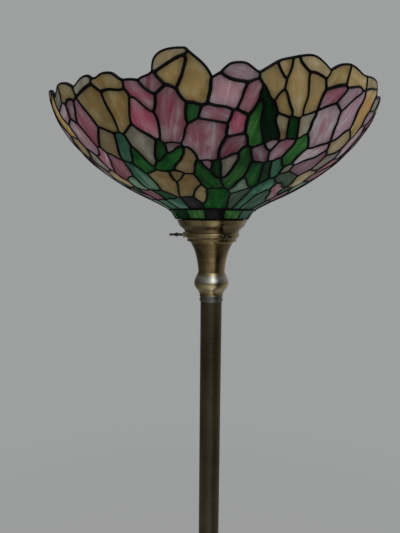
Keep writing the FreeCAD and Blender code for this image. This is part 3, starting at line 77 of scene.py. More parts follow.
# One third of the shade's pattern, which repeats three times round. Corners, numbered from 0:
# degrees round, mm along the profile, half width of the solder line in mm.
SHADE_POINTS = [tuple(map(float, entry.split())) for entry in """
-43.75 21.5 1.2, 56.5 21.5 1.2, -53.75 21.5 1.4, -27.25 21.5 1.3,
-35.5 21.5 1.4, -45.5 40.75 1, -45.67 33.4 1.1, -11.25 21.5 1.5,
-19.25 21.5 1.4, -26.38 45.75 1.2, -27.64 33.69 1.3, 18.75 21.5 1.4,
-3.75 21.5 1.4, 3.75 21.5 1.4, 11.25 21.5 1.4, -10 32.25 1.5,
24 21.5 1.1, 13.25 53.25 1.1, 16.04 27.83 1.4, 13.16 49.03 1.3,
35 21.5 1, 24.75 65.75 1, 24.96 32.83 1, 25.75 53.25 0.9,
25.68 59.11 0.9, 45.75 21.5 1.3, 39.75 65.75 1.8, 34.5 29.75 1,
35.24 38.76 1.1, 34.52 45.29 1.1, 34.82 52.11 1.1, 37.48 62.3 1.2,
38.47 64.32 1.7, 58.5 42.75 1.1, 58.43 29.89 1.1, -3.25 62.25 1.8,
-7.47 34.18 1.6, -5.51 38.76 1.7, -3.82 49.89 1.8, -3.71 58.17 1.9,
-15.25 46.75 1.5, -11.22 36.82 1.4, -13.28 40.19 1.4, -29 46.75 1,
-40.43 43.61 0.9, -38.02 43.71 0.9, -34.81 42.9 0.9, -46 42.25 1,
59.5 43.75 1.1, -50.5 42.75 0.9, -58.96 42.83 0.9, -45.75 63.25 1.2,
-44.64 55.75 1.1, 52.09 45.43 1.3, 45.42 57.1 1.5, 59 54.25 1.3,
59.95 49.18 1.2, -22.24 46.73 1.4, -20.25 75.25 1.4, -25.41 52.58 1.3,
-21.18 68.12 1.4, -36.75 61.75 1.1, -30.78 51.2 1.2, -6.5 69.25 1.7,
-11.99 57.73 1.5, -10.65 61.54 1.5, -8.19 67.12 1.6, 10.25 61.75 1.6,
10.86 57.97 1.2, 23.5 65.75 1.1, 20.05 61.65 1, 52 70.75 1.2,
55.26 57.78 1.3, 52.72 61.68 1.3, 52.04 64.83 1.2, -57.5 69.25 1.1,
59.89 57.48 1.3, 60.19 64.87 1.3, 61.06 67.12 1.2, -39.93 61.04 1.1,
-43.86 63.03 1.1, -34.25 88.25 1.2, -34.57 72.89 1, 6.25 64.75 1.5,
15.75 81.75 1.7, 12.39 66.96 2, 14.01 75.74 2, 0.27 63.21 1.7,
3.68 63.39 1.5, -46.75 64.75 0.9, -48.52 63.29 0.9, -51.14 62.97 0.9,
-45.75 87.25 1.6, -47.21 71.17 1.1, -46.84 75.42 1.3, -45.57 82.89 1.5,
4.38 79.75 1.7, 6.09 68.42 1.5, 4.62 74.48 1.6, 20.44 70.64 1.2,
17.53 79.31 1.3, 27 73.75 1.2, 26.33 70.1 1.2, 39 75.25 1.7,
39.07 70.89 2, -58.25 72.25 1.2, -9.25 86.25 1.4, -6.93 73.89 1.6,
47.66 71.08 1.4, 42.92 76.1 1.4, 40.54 76.17 1.4, 52.75 72.25 1,
-61.23 72.21 1, -65.24 71.27 1, -56.25 82.25 1.2, 48.75 89.75 1,
52.16 79.07 1, 49.7 85.16 0.9, 22 102.25 1.5, 25.23 77.71 1.3,
24.44 84.64 1.4, 22.61 95.47 1.5, 30.5 81.75 1.5, 28.67 76.4 1.4,
-21 90.25 1.8, -21.21 79.33 1.9, -13.75 86.75 1.4, -17.83 77.4 1.1,
33.5 83.75 1.5, -1.25 90.75 1.4, 2.63 80 1.6, 0.81 82.88 1.5,
-0.41 86.42 1.5, 9.5 111.75 1.8, 5.78 81.18 1.8, 7.08 84.1 1.9,
9.39 97.96 1.9, 10.21 105.75 1.8, 2.5 104.5 1.8, 3.79 87.33 1.6,
3.43 98.11 1.6, 16.5 102.75 2, 16.24 95.76 2, 16.06 99.71 2,
25 104.25 1.5, 27.09 93.92 1.5, -57.75 97.25 1.1, -57.85 85.55 1.3,
-58.67 89.38 1.1, -51.64 86.02 1.2, -48.21 87.17 1.2, 34 89.75 1.4,
-6 103.75 1.7, -8.36 90.46 1.4, -7.38 99.52 1.6, -6.74 102.22 1.7,
-17.75 91.75 1.8, -14.86 89.02 1.8, -41 109 1.8, -43.01 95.76 1.9,
-26.75 93.25 1.3, -37.25 103.75 1.6, 33.25 98.75 1.7, 33.57 91.89 1.7,
38.5 94.25 1.1, 35.45 90.35 1, 52.75 100.75 1.7, 50.86 96.54 1.1,
-24.59 91.58 1.7, -5.25 103.25 1.5, -2.89 93.47 1.4, -0.25 102.75 1.5,
-0.58 93.9 1.4, -10.75 118.75 1.6, -16.64 96.54 1.6, -13.11 104.46 1.6,
-11.51 110.26 1.6, -10.82 114.89 1.6, -26.75 97.75 1.5, 37.75 102.75 1.3,
-59.5 101.25 1.1, -46.75 119.75 1.4, -56.33 98.9 1.2, -53.06 105.36 1.4,
-50.19 110.14 1.3, -47.6 117.95 1.1, -24 103.75 1.9, -25.58 99.41 1.9,
-31 122.25 1.5, -28.03 102.2 1.2, -29.66 116.93 1.2, 28.25 109.75 1.7,
31.7 100.65 1.6, 35.75 104.25 1.8, 34.37 102.01 1.7, 54.99 99.77 1.4,
52 119.75 2, -57 119.75 1.8, -57.9 114.55 1.7, 23 104.75 1.2,
-2.52 103.71 1.5, 13.75 117.75 1.9, 13.93 115.12 1.7, 37 103 1.5,
49 124.25 1.6, 38.55 103.64 1.5, 40.96 108.83 1.6, 45.66 114.93 1.6,
47.61 121.53 1.4, -35.01 109.28 1.7, -32.49 119.22 1.7, -17.5 112.75 1.3,
-23.13 103.66 1.7, -22.11 104.47 1.3, -19.75 126.25 1.8, -23.57 108.39 1.7,
-21.32 119.4 1.7, -6.66 110.42 1.8, -7.7 114.85 1.8, -9.11 118.02 1.8,
26.83 108.1 1.6, 37 122.75 1.6, 35.57 111.61 2, 36.11 118.03 1.9,
4.37 105.5 1.9, 7.45 110.34 2, 4.5 127.75 1.7, 2.26 107.27 1.9,
2.36 115.03 1.9, 3.62 124.01 1.8, 21.5 115.75 1.4, 22.05 109.85 1.2,
-42.55 111.65 1.6, -45.45 118.35 1.5, -35.25 136.75 1.7, -39.91 116.57 2,
-37.51 125.26 2, 29.5 129.75 1.5, 28.86 117.53 2, 29.67 123.87 2,
12 119.75 1.9, 10.51 116.72 2, -15.17 114.1 1.2, -12.82 117.88 1.3,
-17 123.25 1.5, 17.75 123.5 1.6, 20.19 117.14 1.5, 23.25 126.25 1.4,
13.25 118.75 2.1, 12.62 119.25 2.1, -11 122.25 1.4, -49.75 128.25 1.4,
-54.57 119.89 1.7, -52.76 121.28 1.5, -51.53 123.3 1.3, 59.5 130.25 1.8,
-58.11 125.53 1.7, -59.32 128.62 1.7, -48 127.25 1.8, 10.25 131.75 1.8,
11.59 125.92 1.9, 56.89 123.96 2, 50.03 123.32 1.9, -31.25 134.75 1.4,
-14.29 123.67 1.5, -7.75 139.25 1.4, -9.87 126.98 1.4, -8.71 135.18 1.4,
39.48 123.79 1.5, 41.31 126.64 1.7, 44.74 130.28 1.9, 32.5 136.25 1.5,
36.33 125.91 1.6, 35.05 129.85 1.5, 33.29 134.82 1.4, -18.25 126.75 1.7,
22.5 127.75 1.4, 20.44 127.38 1.5, 12.5 158.75 2, 16.35 129.96 1.5,
14.65 140.06 1.5, 14.27 145.29 1.5, 14.23 152.71 1.6, 13.93 156.11 1.6,
13.4 158.05 1.7, 46.5 132.5 1.8, 47.99 128.73 1.7, -26.25 142.75 1.7,
-21.37 130.51 2, -24.29 136.68 1.9, 25.5 129.25 1.4, -17.5 150.25 1.6,
-17.57 131.39 1.7, -17.02 140.29 1.6, -17.04 145.67 1.7, -49 128 1.5,
-40.75 144.75 1.9, -46.56 131.36 2, 4.25 139.25 1.5, 4.26 131.27 1.7,
4.42 136.75 1.7, 19 149.75 1.3, 22.16 131.58 1.4, 18.87 144 1.4,
18.76 147.73 1.3, -51.25 153.75 1.9, -50.29 142.68 1.8, -50.57 147.61 1.9,
23.25 147.25 1.5, 24 138.75 1.4, 30.3 131.15 1.2, 31.8 135.15 1.3,
26.5 147.75 1.4, 59.5 141.75 1.2, 10.25 146.75 1.9, 10.01 141.25 2,
52.75 148.75 1.6, 49.14 137.98 2, 50.61 144.53 2, 41.5 159.25 1.4,
45.66 136.08 1.8, 43.47 145.19 1.7, 42.88 150 1.5, 41.85 155.46 1.4,
-32.75 137.25 1.3, 31.5 155.5 1.7, 32.46 140.67 2, 31.79 147.32 2.1,
31.94 151.21 2, -38.71 142.32 1.7, -32.5 170.75 1.7, -32.29 141.83 1.3,
-32 150.25 1.5, -32.49 161.77 1.7, -4.5 143.75 1.4, -7.25 156.25 1.7,
-8.11 143.12 1.5, -7.71 152.67 1.6, 1.93 140.61 1.3, 5.5 150.25 1.6,
4.89 142.97 1.7, 56.83 144.92 1.1, -59 156.25 1.7, 60.16 143.43 1.2,
60.68 146.39 1.2, 60.54 152.18 1.6, -23.5 163.25 1.5, -25.89 147.54 1.6,
-3.25 153.75 1.8, -43.88 172.25 1.9, -41.11 150.52 2, -42.4 161.44 2.1,
6.5 150.75 1.5, 11.46 151.82 2, 23.75 148.25 1.5, 27.25 150.25 1.3,
18.75 167.25 1.3, 23.08 152.9 1.5, 21.76 156.77 1.4, 19.58 165.4 1.3,
52.28 153.31 1.9, 50.07 164.89 2, 50.23 173.71 1.9, 16.75 158.75 1.3,
-19.04 152.68 1.3, -21.83 161.59 1.2, -22.52 162.71 1.2, -15.75 163.25 1.6,
-16.55 154.85 1.7, -1.75 155.25 1.8, 3.69 152.14 1.6, 0.16 153.58 1.6,
28.64 151.47 1.3, 25 180.75 1.5, 26.54 156.83 1.2, 26.39 165.03 1.1,
25.11 176.47 1.2, 8.75 170.25 1.6, 7.64 159.97 1.4, 7.86 163.53 1.5,
-54.5 159.75 2, -52.05 154.64 1.7, -46 170.75 1.6, -49.5 159.25 1.8,
-47.85 163.46 1.7, -5.53 155.69 1.8, -2.25 154.25 2, -0.5 172.25 1.4,
-0.82 165.39 1.8, -0.72 170.7 1.7, 37.75 164.25 1.7, 34.96 160.82 1.6,
31.75 171.75 1.8, 31.27 167.71 1.9, 59.5 170.25 1.2, -61.13 164.47 1.5,
-61.1 166.94 1.3, -9.75 166.25 1.7, -8 157.76 1.8, -9.08 161.58 1.8,
13 168.25 1.5, 12.54 164.67 1.7, 15.62 159.99 1.3, 13.74 166.72 1.3,
17.93 165.38 1.3, 47.75 179.25 1.5, 43.95 168.85 1.4, 45.08 172.1 1.4,
46.89 175.96 1.5, -52 171.25 1.8, -52.36 168.47 2, -24.5 169.75 1.6,
-23.72 166.3 1.7, -19.75 173.75 1.4, -17.65 166.46 1.5, -18.99 170.27 1.5,
-12.5 169.25 1.7, 39.75 176.75 1.5, 38.11 167.54 1.9, 39.53 173.7 1.8,
-11.56 168.63 1.9, -7 187.25 1.5, -8.18 173.61 1.5, -7.3 179.85 1.5,
-6.81 184.79 1.5, 18.75 174.25 1.3, 11.5 173.25 1.3, -15 177.75 1.5,
-14.39 174.96 1.6, -25.96 169.33 1.5, -29.79 171.17 1.5, -24.25 175.25 1.3,
1.75 175.75 1.3, 4.69 171.62 1.7, 2.75 173.76 1.6, 59.25 184.25 1.3,
59.01 173.77 1.3, -54.25 174.25 1.3, 62.03 171.2 1.1, -47.51 172.73 1.7,
-48.76 173.23 1.7, -50.28 172.8 1.8, -45 171.5 1.6, -35.5 177.75 1.8,
38.75 178.25 1.8, 35.93 176.38 2, 30.5 178.75 1.4, 31.16 174.07 1.5,
-6.25 189.75 1, -2.11 179.53 1, -39.03 175.81 2, -44.25 180.25 1.4,
-43.79 176.17 1.9, 11.5 176.75 1, -22.57 175.11 1.3, -15.5 178.75 1.3,
-18.89 175.03 1.4, -16.33 176.91 1.4, -53.5 187.25 1, -53.04 181.33 1.3,
-53.07 183.61 1.1, 15.5 184.25 1.2, 17.61 176.47 1.3, 19.5 188.25 1.2,
19.46 181.33 1.2, -35 181.25 1.2, -25.35 176.56 1.1, -27.2 180.86 1,
-28.36 182.02 0.9, -30.7 182.58 0.9, -33.3 180.84 0.9, 3.87 181 1,
5.76 182.23 0.9, 7.98 181.71 0.9, 10.58 177.42 0.9, 44.82 180.61 1.4,
46.17 180.6 1.4, -8.55 186.34 1.5, 38.5 192.75 1.3, 38.51 183.27 1.6,
-15.19 183.13 0.9, -14.73 186.21 0.9, -13.8 188.85 0.9, -12.64 190.53 0.9,
-10.71 191.67 0.9, -7.76 191.73 0.9, -6.74 191.26 1, 26.89 181.03 1.6,
31.5 184.75 1.2, 31.28 182.2 1.3, 49.25 180.75 1.6, -43.17 180.17 1,
-39.57 183.4 0.9, -37.98 184.21 0.9, -36.02 183.7 1, -46.61 184.04 1.4,
-48.04 185.68 1.3, -51.32 187.61 1.1, 21.25 189.75 1.3, 22.21 185.68 1.6,
21.52 187.79 1.5, 47.5 190.25 1.2, 48.72 183.69 1.6, 58 187.25 1.2,
52.94 184.38 1.3, 16.68 185.88 1, 60.47 182.2 1.2, 61.38 182.02 1.1,
59 185.75 1.3, 27.9 189.54 1, 26.05 191.34 1, 24.32 191.61 1.1,
34.42 189.9 1.3, 36.29 191.68 1.3, -6.62 188.75 1.3, 57.62 188.5 1,
56.14 191.02 0.9, 53.93 192.11 0.9, 51.28 191.69 0.9, 45.32 189.89 0.9,
41.14 192.04 0.9, -51.25 21.5 1.3, -48.75 21.5 1.3, -46.25 21.5 1.3,
58.94 21.5 1.3, 61.38 21.5 1.3, 63.81 21.5 1.3, -41 21.5 1.3,
-38.25 21.5 1.3, -32.75 21.5 1.4, -30 21.5 1.4, -24.58 21.5 1.4,
-21.92 21.5 1.4, -16.58 21.5 1.4, -13.92 21.5 1.5, -8.75 21.5 1.5,
-6.25 21.5 1.4, -1.25 21.5 1.4, 1.25 21.5 1.4, 6.25 21.5 1.4,
8.75 21.5 1.4, 13.75 21.5 1.4, 16.25 21.5 1.4, 21.38 21.5 1.3,
26.75 21.5 1.2, 29.5 21.5 1.2, 32.25 21.5 1.1, 37.69 21.5 1.1,
40.38 21.5 1.2, 43.06 21.5 1.3, 48.44 21.5 1.3, 51.12 21.5 1.3,
53.81 21.5 1.3
""".split(",")]
# Panes, numbered from 0: colour letter, then corner numbers round the outline. "<" marks a
# corner in the previous third, ">" one in the next.
SHADE_PANES = [entry.split() for entry in """
T 2 521 522 523 0 6 5 47 49 50 <48 <33 <34 <1 <524 <525 <526;
T 0 527 528 4 529 530 3 10 9 43 46 45 44 5 6;
U 3 531 532 8 533 534 7 15 41 42 40 57 9 10;
B 7 535 536 12 537 538 13 539 540 14 541 542 11 18 19 17 68 67 83 88 87 35 39 38 37 36 15;
Y 11 543 16 22 23 24 21 69 70 17 19 18;
T 16 544 545 546 20 27 28 29 30 31 32 26 104 103 128 122 123 101 102 21 24 23 22;
T 20 547 548 549 25 550 551 552 1 34 33 53 54 26 32 31 30 29 28 27;
C 15 36 37 38 39 35 63 66 65 64 40 42 41;
K 5 44 45 46 43 62 61 79 80 51 52 47;
P 49 47 52 51 89 90 91 75 <78 <77 <76 <55 <56 <48 50;
P 53 33 48 56 55 72 73 74 71 108 109 110 103 104 26 54;
A 43 9 59 60 58 125 124 168 160 81 82 61 62;
A 9 57 40 64 65 66 63 107 106 126 127 58 60 59;
Y 68 17 70 69 99 100 84 86 85 67;
G 72 55 76 77 78 >75 >105 >112 >113 111 71 74 73;
T 79 61 82 81 161 158 159 92 95 94 93 89 51 80;
G 83 67 85 86 84 142 143 141 202 201 248 249 240 241 133 137 136 135 134 96 98 97;
T 63 35 87 88 83 97 98 96 130 131 132 129 170 169 152 155 154 153 106 107;
Y 90 89 93 94 95 92 150 149 114 105 75 91;
G 69 21 102 101 119 120 121 118 141 143 142 84 100 99;
Y 108 71 111 116 117 115 164 165 151 128 103 110 109;
M >112 >105 >114 >147 >148 >146 >180 195 166 167 115 117 116 111 >113;
K 119 101 123 122 145 144 199 118 121 120;
A 125 58 127 126 157 156 124;
G 130 96 139 140 138 171 172 129 132 131;
C 96 134 135 136 137 133 225 224 138 140 139;
T 122 128 151 163 162 192 191 220 144 145;
R 147 114 149 150 92 159 158 232 233 181 185 184 183 182 146 148;
M 126 106 153 154 155 152 217 218 219 173 177 176 175 174 156 157;
G 81 160 178 189 190 188 210 209 161;
C 163 151 165 164 179 203 193 194 162;
P 164 115 167 166 196 262 204 208 207 206 205 179;
G 168 124 156 174 175 176 177 173 243 242 211 213 212 186 187 178 160;
P 170 129 172 171 200 169;
P 180 146 182 183 184 185 181 258 295 251 254 253 252 197 198;
C 178 187 186 215 216 214 288 289 287 263 188 190 189;
B 192 162 194 193 222 223 221 272 273 274 271 311 310 237 239 238 191;
C 166 195 >180 >198 >197 >256 >257 255 261 196;
P 141 118 199 231 230 246 245 201 202;
P 200 171 138 227 228 229 226 299 300 298 338 334 265 267 266 250 173 219 218 217 152 169;
P 203 179 205 206 207 208 204 286 285 270 269 268 221 223 222 193;
T 158 161 209 210 188 263 324 234 236 235;
G 186 212 213 211 244 275 214 216 215;
P 199 144 220 191 238 239 237 290 247 230 231;
P 138 224 225 133 241 240 260 259 226 229 228 227;
M 232 158 235 236 234 329 296 297 258 181 233;
P 211 242 243 173 250 264 244;
P 246 230 247 276 277 245;
B 248 201 245 279 280 281 282 283 284 278 353 314 315 259 260 240 249;
P 197 252 253 254 251 306 307 305 381 380 342 <345 <344 <343 <313 <255 257 256;
M 196 261 255 313 341 316 318 317 285 286 204 262;
P 264 250 266 267 265 336 337 335 398 399 397 420 416 367 368 291 294 293 292 275 244;
P 221 268 269 270 285 320 321 322 323 319 390 391 325 328 327 326 271 274 273 272;
K 245 277 276 302 303 304 301 363 402 403 400 401 278 284 283 282 281 280 279;
P 214 275 292 293 294 291 364 365 366 346 347 287 289 288;
M 247 290 309 308 301 304 303 302 276;
P 295 258 297 296 350 351 349 442 382 384 383 305 307 306 251;
P 226 259 315 314 352 339 340 298 300 299;
T 290 237 312 354 308 309;
C 237 310 311 271 326 327 328 325 372 355 312;
L 285 317 318 316 360 361 362 490 405 408 407 406 319 323 322 321 320;
A 324 263 287 347 346 412 411 429 430 330 333 332 331;
A 329 234 324 331 332 333 330 443 450 349 351 350 296;
G 265 334 348 385 335 337 336;
P 338 298 340 339 370 371 369 386 348 334;
A 341 313 343 344 345 >342 >395 >396 394 436 435 508 503 504 490 362 361 360 316;
P 352 314 353 278 401 400 426 377 379 378;
A 301 308 354 357 358 359 356 404 363;
A 354 312 355 374 375 376 373 499 500 498 463 464 425 356 359 358 357;
P 364 291 368 367 414 415 413 454 431 411 412 346 366 365;
P 370 339 352 378 379 377 433 434 432 387 389 388 369 371;
A 355 372 325 393 392 447 446 487 373 376 375 374;
P 381 305 383 384 382 439 440 441 409 410 380;
A 385 348 386 369 388 389 387 449 448 514 421 424 423 422 397 399 398 335;
R 325 391 390 418 419 417 444 445 392 393;
L 395 342 380 410 409 437 <438 <394 396;
A 402 363 404 356 425 462 461 453 426 400 403;
P 390 319 406 407 408 405 476 475 417 419 418;
P 414 367 416 428 427 455 457 456 413 415;
A 420 397 422 423 424 421 477 427 428 416;
A 429 411 431 466 467 468 469 470 465 443 330 430;
P 433 377 426 453 474 473 472 471 432 434;
C <436 <394 <438 437 459 460 458 <507 <506 <435;
A 439 382 442 349 452 451 495 496 497 458 460 459 437 409 441 440;
A 392 445 444 479 478 513 512 488 489 446 447;
C 349 450 443 465 494 493 492 491 451 452;
A 462 425 464 463 505 461;
A 444 417 475 476 405 490 502 501 519 520 478 479;
A 427 477 421 514 448 486 485 484 483 482 481 480 455;
A 487 446 489 488 509 510 511 498 500 499 373;
M 502 490 504 503 515 516 517 518 501
""".split(";")]

# the colour family each pane letter belongs to
FAMILY = dict(A="amber", M="amber", C="cream", P="pink", R="rose", L="rose",
              G="leaf", B="leaf", K="dark", U="dark", T="teal", Y="teal")
# panes cut from a sheet a shade off their family's usual one
RECUT = {pane: letter for letter, panes in (
    ("G", (58, 17, 3)), ("B", (16,)), ("M", (7, 88, 89)),
    ("Q", (81, 70, 40, 49, 77, 10, 47, 52, 31)), ("W", (76, 68, 87, 86, 71)),
) for pane in panes}
# brightness of single panes; the others are at 1
TONE = {pane: tone for tone, panes in (
    (0.45, (42, 24)), (0.60, (12, 62, 11, 20, 45, 53, 38, 46)),
    (0.72, (17, 44, 9, 58, 27, 72, 16, 23, 31, 83)),
    (0.84, (74, 56, 52, 28, 51, 37, 61, 84, 50, 77, 55, 4, 39, 80, 67, 35)),
    (1.15, (0, 1, 76, 34, 65, 32, 54, 57, 3, 10, 87, 89)), (1.32, (70, 88, 13, 30, 86)),
    (1.55, (18, 26, 59, 85)), (1.75, (5,)), (2.10, (8, 22)),
) for pane in panes}


# ---- node graphs --------------------------------------------------------------------------------
class Graph:
    """Builds a node tree in short calls. Inputs are numbers, tuples or sockets."""

    def __init__(self, owner, output_kind):
        owner.use_nodes = True
        self.owner = owner
        self.tree = owner.node_tree
        self.tree.nodes.clear()
        self.output = self.node(output_kind)

    def feed(self, socket, value):
        if isinstance(value, (int, float)):
            socket.default_value = value
        elif isinstance(value, tuple):
            opaque = socket.type == "RGBA" and len(value) == 3
            socket.default_value = value + (1.0,) if opaque else value
        elif value is not None:
            self.tree.links.new(value, socket)

    def node(self, kind, inputs=None, **settings):
        item = self.tree.nodes.new("ShaderNode" + kind)
        for name, value in settings.items():
            setattr(item, name, value)
        for key, value in (inputs or {}).items():
            self.feed(item.inputs[key], value)
        return item

    def math(self, operation, first, second=None, clamp=False):
        item = self.node("Math", {0: first, 1: second}, operation=operation, use_clamp=clamp)
        return item.outputs[0]

    def add(self, first, second):
        return self.math("ADD", first, second)

    def multiply(self, first, second):
        return self.math("MULTIPLY", first, second)

    def scaled(self, socket, gain, offset):
        return self.add(self.multiply(socket, gain), offset)

    def weighted(self, *terms):
        """Sum of (socket, weight) terms."""
        total = None
        for socket, weight in terms:
            part = self.multiply(socket, weight)
            total = part if total is None else self.add(total, part)
        return total

    def ramp(self, factor, stops, interpolation="LINEAR"):
        """Colour ramp; a stop is a position and a colour or a grey."""
        item = self.node("ValToRGB", {0: factor})
        item.color_ramp.interpolation = interpolation
        elements = item.color_ramp.elements
        while len(elements) < len(stops):
            elements.new(0.5)
        for element, (position, colour) in zip(elements, stops):
            element.position = position
            element.color = (colour if isinstance(colour, tuple) else (colour,) * 3) + (1.0,)
        return item.outputs[0]

    def mix(self, factor, first, second, mode="MIX"):
        item = self.node("Mix", data_type="RGBA", blend_type=mode)
        for key, value in ((0, factor), (6, first), (7, second)):
            self.feed(item.inputs[key], value)
        return item.outputs[2]

    def mix_shader(self, factor, first, second):
        item = self.node("MixShader", {0: factor, 1: first.outputs[0], 2: second.outputs[0]})
        return item

    def noise(self, vector, scale, detail=3.0, roughness=0.5, distortion=0.0):
        item = self.node("TexNoise", {"Scale": scale, "Detail": detail, "Roughness": roughness,
                                      "Distortion": distortion, "Vector": vector})
        return item.outputs["Fac"]

    def mapping(self, vector, scale, location=(0, 0, 0)):
        item = self.node("Mapping", {"Scale": scale, "Location": location, "Vector": vector})
        return item.outputs[0]

    def object_place(self):
        return self.node("TexCoord").outputs["Object"]

    def xyz(self, vector):
        return self.node("SeparateXYZ", {0: vector}).outputs

    def bump(self, height, strength, distance):
        item = self.node("Bump", {"Strength": strength, "Distance": distance, "Height": height})
        return item.outputs[0]

    def principled(self, colour, roughness, normal, metallic=0.0, **others):
        inputs = {"Base Color": colour, "Roughness": roughness, "Metallic": metallic,
                  "Normal": normal}
        inputs.update({key.replace("_", " "): value for key, value in others.items()})
        return self.node("BsdfPrincipled", inputs)

    def let_through(self, surface, colour, share, normal=None):
        """Mixes in a share of light passing through the surface."""
        glow = self.node("BsdfTranslucent", {"Color": colour, "Normal": normal})
        return self.mix_shader(share, surface, glow)

    def finish(self, shader):
        self.feed(self.output.inputs["Surface"], shader.outputs[0])
        return self.owner


def material_graph(name):
    return Graph(bpy.data.materials.new(name), "OutputMaterial")


# ---- materials ----------------------------------------------------------------------------------
def opal_glass(name, seed, streak, mottle, through, deep, mid, pale, patch=None, patch_amount=0.0):
    """Opalescent sheet glass: wisps of pale and deep colour drawn out along the grain of the
    sheet or curdled into mottles, soft ripples, a polished face, light coming through."""
    g = material_graph(name)
    grain = g.node("Attribute", attribute_name="grain").outputs["Vector"]
    tone = g.node("Attribute", attribute_name="tone").outputs["Fac"]
    wisps = g.noise(g.mapping(grain, (1.15, 0.17, 1.0), (seed, 0, 0)), 1.0, 5.0, 0.58, 1.3)
    fine = g.noise(g.mapping(grain, (4.2, 0.42, 1.0), (0, seed, 0)), 1.0, 4.0, 0.6, 0.7)
    cloud = g.noise(g.mapping(grain, (0.33, 0.24, 1.0), (seed, seed, 0)), 1.0, 2.0, 0.5, 0.4)
    curd = g.noise(g.mapping(grain, (0.85, 0.60, 1.0), (seed, 3.0, 0)), 1.0, 4.0, 0.55, 0.8)
    shade = g.weighted((wisps, 0.62 * (1 - mottle)), (fine, 0.20 * (1 - 0.7 * mottle)),
                       (cloud, 0.30), (curd, 0.76 * mottle))
    # streak sets the contrast round the middle tone
    contrast = g.multiply(g.math("SUBTRACT", shade, 0.56), streak * 3.1)
    shade = g.math("ADD", contrast, 0.5, clamp=True)
    colour = g.ramp(shade, ((0.05, deep), (0.52, mid), (0.95, pale)))
    if patch is not None:
        blot = g.noise(g.mapping(grain, (0.55, 0.38, 1.0), (9.0, seed, 0)), 1.0, 3.0, 0.55, 1.0)
        spread = g.ramp(blot, ((0.52, 0), (0.68, 1)))
        colour = g.mix(g.multiply(spread, patch_amount), colour, patch)
    colour = g.node("HueSaturation", {"Color": colour, "Value": tone}).outputs[0]
    ripple = g.noise(g.mapping(grain, (0.9, 0.45, 1.0)), 1.0, 2.0, 0.5, 0.6)
    seeds = g.noise(g.mapping(grain, (7.0, 7.0, 1.0)), 1.0, 2.0, 0.6)
    height = g.weighted((ripple, 1.0), (seeds, 0.06))
    normal = g.bump(height, strength=0.35, distance=0.0012)
    face = g.principled(colour, g.scaled(seeds, gain=0.10, offset=0.12), normal,
                        Specular_IOR_Level=0.22, Coat_Weight=0.12, Coat_Roughness=0.06)
    return g.finish(g.let_through(face, colour, through, normal))


def black_solder(name):
    """Solder bead under a black patina: lumpy, rubbed a little on the crowns."""
    g = material_graph(name)
    place = g.object_place()
    lumps = g.noise(place, scale=260.0, roughness=0.55)
    fine = g.noise(place, scale=1400.0, roughness=0.6)
    wear = g.noise(place, scale=90.0, detail=4.0, roughness=0.62)
    pointiness = g.node("NewGeometry").outputs["Pointiness"]
    crown = g.ramp(pointiness, ((0.50, 0), (0.60, 1)))
    rubbed = g.multiply(g.ramp(wear, ((0.52, 0), (0.72, 1))), crown)
    colour = g.mix(rubbed, (0.0022, 0.0020, 0.0022), (0.013, 0.0125, 0.012))
    colour = g.mix(g.multiply(fine, 0.35), colour, (0.004, 0.0035, 0.0035))
    roughness = g.scaled(lumps, gain=0.25, offset=0.26)
    normal = g.bump(g.weighted((lumps, 1.0), (fine, 0.25)), strength=0.35, distance=0.0006)
    return g.finish(g.principled(colour, roughness, normal, Specular_IOR_Level=0.12))


PAINTED_BAND_EDGE = 0.0022  # fade at each end of a band of painted highlight or painted shade, metres


def aged_brass(name, bright, mid, dark, rough, rings, age, ring_scale=2600.0, metal=1.0,
               under_cup_shade=None, painted_bands=()):
    """Antiqued brass: lathe lines round the axis, brown lacquer lying in the hollows, smudges
    and small spots.

    shade under the cup: bottom height, top height, amount of a painted shade, a fade to dark brown
    towards the top.
    painted bands: bottom height, top height, colour, amount of each band of painted highlight or
    painted shade.
    """
    g = material_graph(name)
    place = g.object_place()
    lathe = g.noise(g.mapping(place, (0.02, 0.02, 1.0)), ring_scale, 2.0, 0.6)
    broad = g.noise(g.mapping(place, (0.05, 0.05, 1.0)), ring_scale * 0.23, 2.0, 0.5)
    smudge = g.noise(g.mapping(place, (1.0, 1.0, 0.55)), 38.0, 5.0, 0.62, 0.5)
    spots = g.noise(place, scale=420.0, roughness=0.65)
    pointiness = g.node("NewGeometry").outputs["Pointiness"]
    hollow = g.ramp(pointiness, ((0.42, 1), (0.50, 0)))
    shade = g.weighted((smudge, 0.9), (broad, 0.25), (spots, 0.15))
    colour = g.ramp(shade, ((0.42, dark), (0.62, mid), (0.86, bright)))
    colour = g.mix(g.multiply(hollow, age), colour, dark)
    # painted shade: the brass darkens to brown towards the cup that overhangs it
    if under_cup_shade is not None:
        low, high, amount = under_cup_shade
        rise = g.math("SUBTRACT", g.xyz(place)[2], low)
        share = g.multiply(g.math("DIVIDE", rise, high - low, clamp=True), amount)
        uneven = g.scaled(smudge, gain=0.5, offset=0.7)
        share = g.math("MULTIPLY", share, uneven, clamp=True)
        colour = g.mix(share, colour, (dark[0] * 0.75, dark[1] * 0.68, dark[2] * 0.6))
    # bands of painted highlight or painted shade, faded in at both ends
    for low, high, tint, amount in painted_bands:
        z = g.xyz(place)[2]
        above = g.math("DIVIDE", g.math("SUBTRACT", z, low), PAINTED_BAND_EDGE, clamp=True)
        below = g.math("DIVIDE", g.math("SUBTRACT", high, z), PAINTED_BAND_EDGE, clamp=True)
        share = g.multiply(g.multiply(above, below), amount)
        uneven = g.scaled(smudge, gain=0.4, offset=0.78)
        colour = g.mix(g.math("MULTIPLY", share, uneven, clamp=True), colour, tint)
    roughness = g.scaled(smudge, gain=0.16, offset=rough - 0.06)
    height = g.weighted((lathe, 0.6), (spots, 0.25))
    normal = g.bump(height, strength=0.10 * rings, distance=0.0003)
    return g.finish(g.principled(colour, roughness, normal, metal,
                                 Coat_Weight=0.25, Coat_Roughness=0.18))


